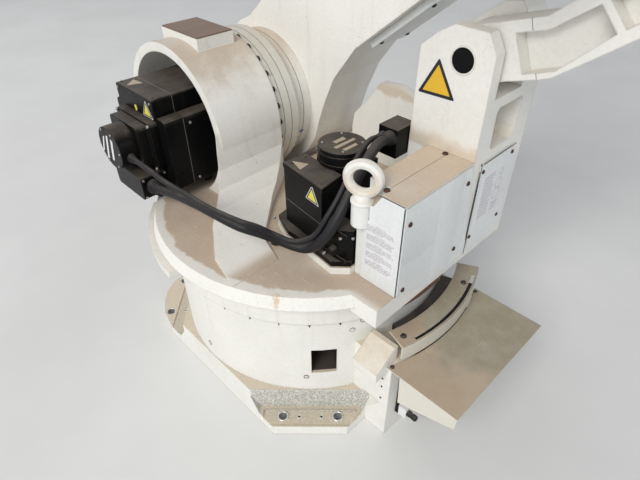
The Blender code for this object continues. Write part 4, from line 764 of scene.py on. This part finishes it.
sleeve_ring(bm, GEAR_MIDDLE + Vector((0, -0.118, 0)), LEFT, 0.197, 0.2006, -0.0008, 0.0008, 0.0008)
made(bm, "hub_line", seam_light, "link_arm")
oil_way = Vector((-0.894, 0.0, -0.448)).normalized()
oil_up = Vector((-0.448, 0, 0.894))
set_fasteners("oil_plug", "link_arm", plug_head, 0.0075, shade_and_plug_black,
              [(GEAR_MIDDLE + oil_way * 0.2000 + Vector((0, -0.100, 0)), tuple(oil_way))])


def layers_on(name, body, origin, across, upward, layers):
    """Thin layers on a face: (finish, top height, outlines) from the bottom one up."""
    u, v = Vector(across).normalized(), Vector(upward).normalized()
    bm = bmesh.new()
    for number, (look, top, outlines) in enumerate(layers):
        for outline in outlines:
            for face in prism(bm, origin, u, v, outline, -0.0005, top):
                face.material_index = number
    thing = shell_from(bm, name, smooth=False)
    for look, _, _ in layers:
        thing.data.materials.append(look)
    return dress(thing, None, body)


def sheet_outline(wide, tall, radius=0.002):
    """A sheet from its lower corner."""
    return rounded_outline([(0, 0), (wide, 0), (wide, tall), (0, tall)], radius, 3)


layers_on("oil_tag", "link_arm", GEAR_MIDDLE + oil_way * 0.1995
          + Vector((0, -0.108, 0)) + oil_up * 0.020, (0, -1, 0), oil_up,
          [(blue_tag, 0.0008, [sheet_outline(0.014, 0.010)])])

# ---- Axis 2 motor. Black cast and sheet cases, screwed together with bright cap
# screws along pale joint lines. It has plain signs, and pale bars on its cap.
sign_yellow = printed("sign_yellow", (0.83, 0.50, 0.03), dust_level=0.2, specks=0.2, runs=0.1)
sign_lemon = printed("sign_lemon", (0.80, 0.72, 0.10), dust_level=0.2, specks=0.1, runs=0.1)
sign_black = printed("sign_black", (0.015, 0.015, 0.015))
sign_tan = printed("faded_sign", (0.42, 0.35, 0.25), dust_level=0.2, specks=0.2, runs=0.1, grain=0.2, roughness=0.5)
coat(motor_paint, "axis_2_motor_body axis_2_motor_shell axis_2_terminal_box axis_2_encoder_housing axis_2_motor_cap"
                  " axis_2_connector motor_lift_ring")
BOX_2_TOP = 0.8070
BOX_2_FRONT = 0.3120
SHELL_BACK = 0.2200
COVER_FRONT = 0.3300
CAP_2_FACE = (0.350, 0.4100, 0.675)
SEAM_THICK = 0.0006


def triangle(size, inset=0.0, radius=0.1):
    """An upright triangle about its middle, drawn in from its edge."""
    reach = (size / math.sqrt(3)) - inset * 2
    corners = [(reach * math.cos(a), reach * math.sin(a)) for a in
               (math.radians(90), math.radians(210), math.radians(330))]
    return rounded_outline(corners, reach * radius, 3)


def hazard_sign(name, body, origin, across, upward, size, fill=sign_yellow):
    """A triangle with a dark border and no picture, on its pale backing."""
    return layers_on(name, body, origin, across, upward,
                     [(label_white, 0.0003, [triangle(size * 1.12)]), (sign_black, 0.0005, [triangle(size)]),
                      (fill, 0.0007, [triangle(size, size * 0.075, 0.04)])])


def ring_of(centre, axis, radius, count, first=0.0):
    """Places of screws in a circle about an axis, facing along it."""
    axis = Vector(axis).normalized()
    side = Vector((0, 0, 1)) if abs(axis.z) < 0.9 else Vector((1, 0, 0))
    side = (side - axis * side.dot(axis)).normalized()
    other = axis.cross(side)
    return [(Vector(centre) + (side * math.cos(a) + other * math.sin(a)) * radius, tuple(axis))
            for a in (math.radians(first) + 2 * math.pi * i / count for i in range(count))]


bm = bmesh.new()
brick(bm, (0.3495, 0.2515, BOX_2_TOP), (1, 0, 0), LEFT, UP, (0.182, 0.0012, SEAM_THICK))
brick(bm, (0.2560, 0.2515, 0.7790), UP, LEFT, BACK, (0.050, 0.0012, SEAM_THICK))
brick(bm, (SHELL_BACK, 0.2500, 0.6500), UP, LEFT, BACK, (0.200, 0.0014, SEAM_THICK))
brick(bm, (0.3500, 0.2500, 0.5450), (1, 0, 0), LEFT, (0, 0, -1), (0.240, 0.0014, SEAM_THICK))
made(bm, "motor_2_seam", seam_light, "column", smooth=False)
set_fasteners("motor_2_screws", "column", cap_head, 0.0048, bare_steel,
              [((x, COVER_FRONT, z), LEFT) for x in (0.2675, 0.4325) for z in (0.613, 0.737)]
              + [((x, BOX_2_FRONT, 0.795), LEFT, 0.7) for x in (0.2655, 0.4345)]
              + [((SHELL_BACK, y, z), BACK, 0.8) for y in (0.040, 0.232) for z in (0.566, 0.734)])
set_fasteners("cap_2_screws", "column", cap_head, 0.0033, bare_steel,
              ring_of(CAP_2_FACE, LEFT, 0.0535, 6, 30))
set_fasteners("connector_2_screws", "column", cap_head, 0.0034, bare_steel,
              [((0.2700, y, z), BACK) for y in (0.312, 0.378) for z in (0.538, 0.592)])
set_fasteners("box_2_lid_screws", "column", button_head, 0.0038, screw_dark,
              [((x, y, BOX_2_TOP), UP) for x in (0.268, 0.432) for y in (0.128, 0.300)])
hazard_sign("box_2_front_sign", "column", (0.2890, BOX_2_FRONT, 0.7673), BACK, UP, 0.047, sign_lemon)
layers_on("box_2_oval", "column", (0.3505, BOX_2_FRONT, 0.7605), BACK, UP,
          [(sign_lemon, 0.0006, [[(0.0062 * math.cos(a), 0.0088 * math.sin(a))
                                  for a in (2 * math.pi * i / 20 for i in range(20))]])])
layers_on("box_2_top_sign", "column", (0, 0, BOX_2_TOP), (1, 0, 0), LEFT,
          [(sign_tan, 0.0006, [rounded_outline([(0.394, 0.3045), (0.379, 0.2640), (0.422, 0.2700)], 0.003)])])
layers_on("cap_2_bars", "column", CAP_2_FACE, BACK, UP,
          [(label_white, 0.0006, [[(-0.030, 0.024), (-0.020, 0.030), (-0.045, -0.022), (-0.055, -0.028)],
                                  [(-0.008, 0.034), (0.002, 0.036), (-0.025, -0.040), (-0.035, -0.042)],
                                  [(0.016, 0.032), (0.026, 0.028), (0.006, -0.036), (-0.004, -0.036)]])])

# ---- Axis 1 motor. The same family of black cases, its flange bolted on the
# plate's seat. A ribbed round cap, a sheet terminal box and a plug block sit on it.
coat(motor_paint, "axis_1_motor_flange axis_1_motor_body axis_1_motor_cap axis_1_terminal_box junction_box")
CAP_1 = Vector((-0.185, 0.067, 0.0))
CAP_1_TOP = 0.7600
BOX_1_TOP = 0.7145
FLANGE_TOP = 0.5450
BLOCK_FRONT = 0.1990
bm = bmesh.new()
for z, radius in ((0.7255, 0.0592), (0.7475, 0.0600)):
    sleeve_ring(bm, CAP_1 + Vector((0, 0, z)), UP, radius - 0.003, radius, -0.0022, 0.0022, 0.0022)
made(bm, "cap_1_rings", motor_paint, "column")
set_fasteners("cap_1_screws", "column", cap_head, 0.0028, bare_steel,
              ring_of((CAP_1.x, CAP_1.y, CAP_1_TOP), UP, 0.0480, 4, 45))
layers_on("cap_1_bars", "column", (0, 0, CAP_1_TOP), (1, 0, 0), LEFT,
          [(sign_tan, 0.0006, [[(-0.178, 0.046), (-0.165, 0.044), (-0.165, 0.080), (-0.177, 0.080)],
                               [(-0.196, 0.032), (-0.187, 0.031), (-0.186, 0.098), (-0.196, 0.098)],
                               [(-0.218, 0.048), (-0.208, 0.046), (-0.208, 0.092), (-0.218, 0.090)]])])
box_plan = [(-0.093, 0.175), (-0.243, 0.194), (-0.232, 0.120), (-0.100, 0.108)]
box_middle = Vector((-0.168, 0.150, 0))
bm, seams = bmesh.new(), bmesh.new()
for (x0, y0), (x1, y1) in zip(box_plan, box_plan[1:] + box_plan[:1]):
    run = Vector((x1 - x0, y1 - y0, 0))
    out = Vector((run.y, -run.x, 0)).normalized()
    middle = Vector(((x0 + x1) / 2, (y0 + y1) / 2, 0))
    if (middle - box_middle).dot(out) < 0:
        out = -out
    brick(seams, middle + Vector((0, 0, 0.6130)), run, UP, out, (run.length - 0.004, 0.0012, SEAM_THICK))
    brick(bm, middle + Vector((0, 0, 0.7080)), run, UP, out, (run.length + 0.003, 0.0125, 0.0030), 0.002)
made(seams, "box_1_seam", seam_light, "column", smooth=False)
made(bm, "box_1_lines", motor_paint, "column", smooth=False)
sign_x = -0.2065
sign_y = 0.175 + (-0.093 - sign_x) * 0.019 / 0.150 + 0.0003
hazard_sign("box_1_sign", "column", (sign_x, sign_y, 0.6745), (-0.992, 0.126, 0), UP, 0.046, sign_lemon)
layers_on("box_1_top_sign", "column", (0, 0, BOX_1_TOP), (1, 0, 0), LEFT,
          [(sign_tan, 0.0006, [rounded_outline([(-0.104, 0.157), (-0.148, 0.171), (-0.143, 0.138)], 0.003)])])
set_fasteners("box_1_lid_screws", "column", button_head, 0.0036, screw_dark,
              [((x, y, BOX_1_TOP), UP) for x, y in ((-0.110, 0.1640), (-0.227, 0.1790), (-0.220, 0.131),
                                                    (-0.112, 0.120))])
set_fasteners("junction_screws", "column", cap_head, 0.0038, bare_steel,
              [((-0.309, BLOCK_FRONT, 0.614), LEFT), ((-0.272, BLOCK_FRONT, 0.614), LEFT),
               ((-0.3280, 0.180, 0.614), BACK)])
bm = bmesh.new()
lathe(bm, (-0.290, 0.1985, 0.571), LEFT, [(0, 0), (0.0125, 0), (0.0125, 0.006), (0.0105, 0.008), (0.0105, 0.014),
                                         (0.0085, 0.016), (0, 0.016)], 20)
for z in (0.626, 0.553):
    brick(bm, (-0.290, 0.1995, z), (1, 0, 0), UP, LEFT, (0.074, 0.010, 0.003), 0.002)
made(bm, "junction_fittings", motor_paint, "column")
set_fasteners("motor_1_flange_screws", "column", cap_head, 0.0052, bare_steel,
              [((x, y, FLANGE_TOP), UP) for x, y in ((-0.065, -0.040), (-0.305, -0.040), (-0.065, 0.195),
                                                     (-0.190, 0.205), (-0.262, 0.205))])

# ---- Column box. A cast box with sheet covers over the wiring, near-black strips of
# painted shade in the gaps at the sheets' edges, and rusty button screws. A printed
# sheet of grey bars is stuck on.
box_paint = finish("white_box_paint", (0.82, 0.83, 0.81), dust_level=0.95, specks=0.4, rust=0.15, runs=0.2,
                   grain=0.5, roughness=0.4, edge_width=0.003, dust=(0.55, 0.43, 0.31))
# The sheet covers' white has a cool blue-grey tint as painted sky light on their shaded sides.
sky_tinted_sheet_paint = finish("white_sheet_sky_tinted", (0.80, 0.83, 0.83), dust_level=0.75, specks=0.35, rust=0.15, runs=0.2,
                     grain=0.35, roughness=0.38, edge_width=0.0015)
screw_rust = finish("rusty_screw_steel", (0.075, 0.030, 0.022), metallic=0.5, dust_level=0.2, specks=0.3, rust=0.5,
                    grain=0.8, roughness=0.5, edge_width=0.0004, dust=(0.16, 0.10, 0.07))
label_grey = printed("label_grey", (0.33, 0.33, 0.37), roughness=0.4)
coat(box_paint, "column_box")
coat(sky_tinted_sheet_paint, "side_cover rear_cover tower_cover")
BOX_TOP = 0.7570
BOX_SIDE = 0.1745
SHEET_BACK = -0.4598
BLOCK_STEP = 0.0245                # between the side label's blocks of words
bm = bmesh.new()
brick(bm, (-0.4240, BOX_SIDE, BOX_TOP), (1, 0, 0), LEFT, UP, (0.064, 0.0020, 0.0008))
brick(bm, (-0.4568, BOX_SIDE, 0.6330), UP, LEFT, BACK, (0.242, 0.0026, 0.0008))
brick(bm, (-0.4572, -0.1095, 0.6100), UP, LEFT, BACK, (0.262, 0.0018, 0.0010))
made(bm, "box_gaps", shade_and_plug_black, "column", smooth=False)
bm = bmesh.new()
brick(bm, (-0.3900, 0.0430, BOX_TOP), LEFT, (1, 0, 0), UP, (0.218, 0.0011, SEAM_THICK))
made(bm, "box_top_seam", seam_light, "column", smooth=False)
set_fasteners("box_top_screws", "column", button_head, 0.0072, screw_rust,
              [((-0.3900, 0.1500, BOX_TOP), UP), ((-0.3860, -0.0640, BOX_TOP), UP)])
set_fasteners("rear_cover_screws", "column", button_head, 0.0062, screw_rust,
              [((SHEET_BACK, y, z), BACK) for y, z in ((0.155, 0.709), (-0.057, 0.713), (0.153, 0.524),
                                                       (-0.050, 0.527))])


def bars(left, right, top, bottom, rows, seed, thick=0.0022):
    """Rows of short bars, as words seen from far away."""
    draw = random.Random(seed)
    out = []
    for row in range(rows):
        y = top - (top - bottom) * row / max(rows - 1, 1)
        x = left
        stop = right - (right - left) * (draw.random() * 0.45 if row % 4 == 3 else draw.random() * 0.08)
        while x < stop - 0.004:
            wide = min(0.004 + draw.random() * 0.010, stop - x)
            out.append([(x, y - thick / 2), (x + wide, y - thick / 2), (x + wide, y + thick / 2),
                        (x, y + thick / 2)])
            x += wide + 0.0022
    return out


label_bars = []
for block in range(5):
    top = 0.124 - block * BLOCK_STEP
    label_bars += bars(0.030, 0.058, top, top, 1, 40 + block, 0.0012)
    label_bars += bars(0.007, 0.084, top - 0.0045, top - 0.0165, 4, 50 + block, 0.0013)
layers_on("side_label", "column", (-0.3585, BOX_SIDE + 0.0011, 0.5520), BACK, UP,
          [(label_white, 0.0004, [sheet_outline(0.091, 0.131)]), (label_grey, 0.0006, label_bars)])

# ---- Lifting eye. A forged ring bolt, painted with the column and screwed into
# the box's corner through a turned collar.
upright_casting = finish("white_tower_paint", PAINT_WHITE, dust_level=0.35, specks=0.35, rust=0.15, runs=0.22,
                         grain=0.7, edge_width=0.005)
coat(upright_casting, "eye_bolt tower rear_beam side_wall")
bm = bmesh.new()
lathe(bm, (-0.343, 0.170, 0.7215), UP, [(0, -0.004), (0.0262, -0.004), (0.0262, 0.002), (0.0245, 0.0045),
                                       (0.0225, 0.0055), (0.0170, 0.0120), (0.0120, 0.0190), (0, 0.0190)], 32)
made(bm, "eye_collar", upright_casting, "column")

# ---- Tower. A pocketed casting on the column's tail, with a steel pin through a
# bored boss, a sheet cover held by rusty screws, and a sign and a label without words.
coat(motor_paint, "cable_clamp tower_pin")
TOWER_FACE = -0.0753
PIN_PLACE = (-0.3845, TOWER_FACE, 0.967)
# Dust has drifted against the tower's foot, where it meets the box.
_, place = opened(upright_casting)
drift_up = plus(part_of(place["Object"], 2), ramp(noise(place["Object"], 30.0), 0.2, 0.8, -0.008, 0.008))
drift_side = ramp(part_of(place["Normal"], 1), 0.5, 0.9)
drift = times(times(ramp(drift_up, 0.800, 0.762), ramp(drift_up, 0.735, 0.750)), times(drift_side, 0.7))
stained(upright_casting, drift, (0.62, 0.50, 0.36, 1))
set_fasteners("tower_cover_screws", "column", button_head, 0.0055, screw_rust,
              [((SHEET_BACK, y, z), BACK) for y, z in ((-0.119, 0.717), (-0.251, 0.720), (-0.251, 0.531),
                                                       (-0.120, 0.526))])
ring_bars = []
for u, v, wide in ((0.082, 0.088, 0.015), (0.080, 0.058, 0.017), (0.088, 0.118, 0.009)):
    for i in range(20):
        a, b = (2 * math.pi * (i + k) / 20 for k in (0.1, 0.9))
        ring_bars.append([(u + reach * math.cos(turn_by), v + reach * math.sin(turn_by))
                          for reach, turn_by in ((wide, a), (wide, b), (wide - 0.0012, b), (wide - 0.0012, a))])
layers_on("tower_label", "column", (SHEET_BACK, -0.1330, 0.5590), (0, -1, 0), UP,
          [(label_white, 0.0004, [sheet_outline(0.106, 0.140)]),
           (label_grey, 0.0006, bars(0.006, 0.056, 0.130, 0.012, 19, 7, 0.0016)
            + bars(0.066, 0.098, 0.032, 0.012, 4, 8, 0.0020) + ring_bars)])
hazard_sign("tower_sign", "column", (-0.3310, TOWER_FACE, 0.9040), (-0.9994, 0.0, 0.035), (0.035, 0, 0.9994), 0.097)
# Near-black strips at the cover's edges are painted shade in its gaps.
bm = bmesh.new()
brick(bm, (-0.4601, -0.1900, 0.7385), LEFT, UP, BACK, (0.146, 0.0016, 0.0010))
brick(bm, (-0.4601, -0.1075, 0.6080), UP, LEFT, BACK, (0.262, 0.0016, 0.0010))
made(bm, "tower_cover_gaps", shade_and_plug_black, "column", smooth=False)
bm = bmesh.new()
sleeve_ring(bm, PIN_PLACE, LEFT, 0.0262, 0.0305, -0.002, 0.0016, 0.001)
made(bm, "pin_ring", upright_casting, "column")

# ---- Rear beam. A ribbed casting pinned to the tower, with a steel bushing
# pressed into each side of its far end and a joint line on its side.
BEAM_FACES = ((-0.118, 1), (-0.212, -1))
BEAM_DOWN, BEAM_OVER = (-0.33, 0, -0.944), (0.944, 0, -0.33)
seams = bmesh.new()
for x, z, long in ((-0.4920, 1.0505, 0.024), (-0.5240, 0.9590, 0.012)):
    brick(seams, (x, BEAM_FACES[0][0], z), BEAM_DOWN, BEAM_OVER, LEFT, (long, 0.0012, SEAM_THICK))
made(seams, "beam_seam", seam_light, "column", smooth=False)
bm = bmesh.new()
for y, way in BEAM_FACES:
    sleeve_ring(bm, (-0.7989, y, 1.230), (0, way, 0), 0.0170, 0.0235, -0.020, 0.0025, 0.001)
made(bm, "beam_bushes", bare_steel, "column")

# ---- Link arm. A hollow casting from axis 2 to the elbow. Screws hold the sheet
# cover on its back, and turned caps with rings of screws close both far sides.
coat(casting, "link_arm axis_2_hub")
coat(sky_tinted_sheet_paint, "link_cover")
LINK_LENGTH = 1.150
FAR_SIDE = -0.3505
LINK_LEAN = math.radians(140)
along = Vector((math.cos(LINK_LEAN), 0, math.sin(LINK_LEAN)))
ahead = Vector((along.z, 0, -along.x))


def on_link(e, n, y=0.0):
    """A point e along the link from axis 2, n ahead of its middle line."""
    return GEAR_MIDDLE + along * e + ahead * n + Vector((0, y, 0))


set_fasteners("link_cover_screws", "link_arm", button_head, 0.0062, screw_dark,
              [(on_link(e, n, y), tuple(-ahead)) for e, n in ((0.475, -0.0915), (0.660, -0.0980), (0.835, -0.1300))
               for y in (-0.304, -0.196)])
bm = bmesh.new()
for e, rim, dome in ((0, 0.150, 0.060), (LINK_LENGTH, 0.115, 0.050)):
    lathe(bm, on_link(e, 0, FAR_SIDE), (0, -1, 0), [(0, -0.004), (rim, -0.004), (rim, 0.003), (rim - 0.004, 0.006),
                                                   (dome, 0.008), (0, 0.008)], 64)
made(bm, "link_far_caps", casting, "link_arm")
set_fasteners("far_cap_screws", "link_arm", cap_head, 0.0055, screw_dark,
              ring_of(on_link(0, 0, FAR_SIDE - 0.0055), (0, -1, 0), 0.137, 12)
              + ring_of(on_link(LINK_LENGTH, 0, FAR_SIDE - 0.0055), (0, -1, 0), 0.102, 10))

# ---- Upper arm. The elbow casting carries a turned forearm tube and a drilled
# steel tool flange. Four black motors are screwed on, with turned collars between.
coat(upright_casting, "elbow_housing forearm wrist_housing wrist_bend")
coat(motor_paint, "axis_3_motor wrist_motor_1 wrist_motor_2 wrist_motor_3")
coat(bare_steel, "tool_flange")
arm_along = Vector((-0.642788, 0, 0.766044))
arm_across = Vector((0.766044, 0, 0.642788))
elbow_middle = Vector((-0.53095, 0, 1.41421))
ARM_LINE = 0.041                   # the forearm's middle, across from the elbow's
WRIST_FAR = 1.200
FLANGE_FAR = 1.4150
WRIST_MOTORS = ((0.075, -0.065), (0.075, 0.065), (-0.050, 0.0))


def on_arm(a, b, y=0.0):
    """A point a along the upper arm from the elbow and b across it."""
    return elbow_middle + arm_along * a + arm_across * b + Vector((0, y, 0))


set_fasteners("elbow_screws", "link_arm", cap_head, 0.0058, screw_dark,
              ring_of(on_arm(0, 0, 0.1350), LEFT, 0.088, 8, 22.5)
              + [(on_arm(a, b, 0.1350), LEFT, 0.8) for a in (0.130, 0.180) for b in (-0.120, 0.140)])
bm = bmesh.new()
for far, radius in ((0.1470, 0.0742), (0.2600, 0.0742), (0.3180, 0.0736)):
    sleeve_ring(bm, on_arm(0, 0, far), LEFT, radius - 0.004, radius, -0.004, 0.004, 0.004)
for b, y in WRIST_MOTORS:
    for far in (-0.1240, -0.1660):
        sleeve_ring(bm, on_arm(far, b, y), -arm_along, 0.046, 0.0496, -0.003, 0.003, 0.003)
made(bm, "arm_motor_rings", motor_paint, "link_arm")
set_fasteners("arm_motor_screws", "link_arm", cap_head, 0.0036, bare_steel,
              ring_of(on_arm(0, 0, 0.3300), LEFT, 0.058, 4, 45)
              + [q for b, y in WRIST_MOTORS for q in ring_of(on_arm(-0.1850, b, y), -arm_along, 0.037, 4, 45)])
bm = bmesh.new()
lathe(bm, on_arm(0.2003, ARM_LINE), arm_along, [(0, 0.0), (0.1225, 0.0), (0.1225, 0.014), (0.1195, 0.018),
                                                (0, 0.018)], 64)
lathe(bm, on_arm(0.9850, ARM_LINE), arm_along, [(0, 0.0), (0.0900, 0.0), (0.0925, 0.004), (0.0925, 0.013),
                                                (0, 0.013)], 64)
for side in (-1, 1):
    lathe(bm, on_arm(WRIST_FAR, ARM_LINE, side * 0.0655), (0, side, 0),
          [(0, -0.003), (0.064, -0.003), (0.064, 0.003), (0.060, 0.006), (0, 0.006)], 48)
made(bm, "forearm_collars", upright_casting, "link_arm")
set_fasteners("wrist_screws", "link_arm", cap_head, 0.0035, screw_dark,
              [q for side in (-1, 1)
               for q in ring_of(on_arm(WRIST_FAR, ARM_LINE, side * 0.0710), (0, side, 0), 0.054, 8)])
# Near-black discs on the tool flange are painted shade in its drilled holes.
set_fasteners("flange_holes", "link_arm", plug_head, 0.0052, shade_and_plug_black,
              ring_of(on_arm(FLANGE_FAR, ARM_LINE), arm_along, 0.0500, 6)
              + [(on_arm(FLANGE_FAR, ARM_LINE), tuple(arm_along), 4.2)])

for pattern in (cap_head, button_head, plug_head):
    bpy.data.objects.remove(pattern)
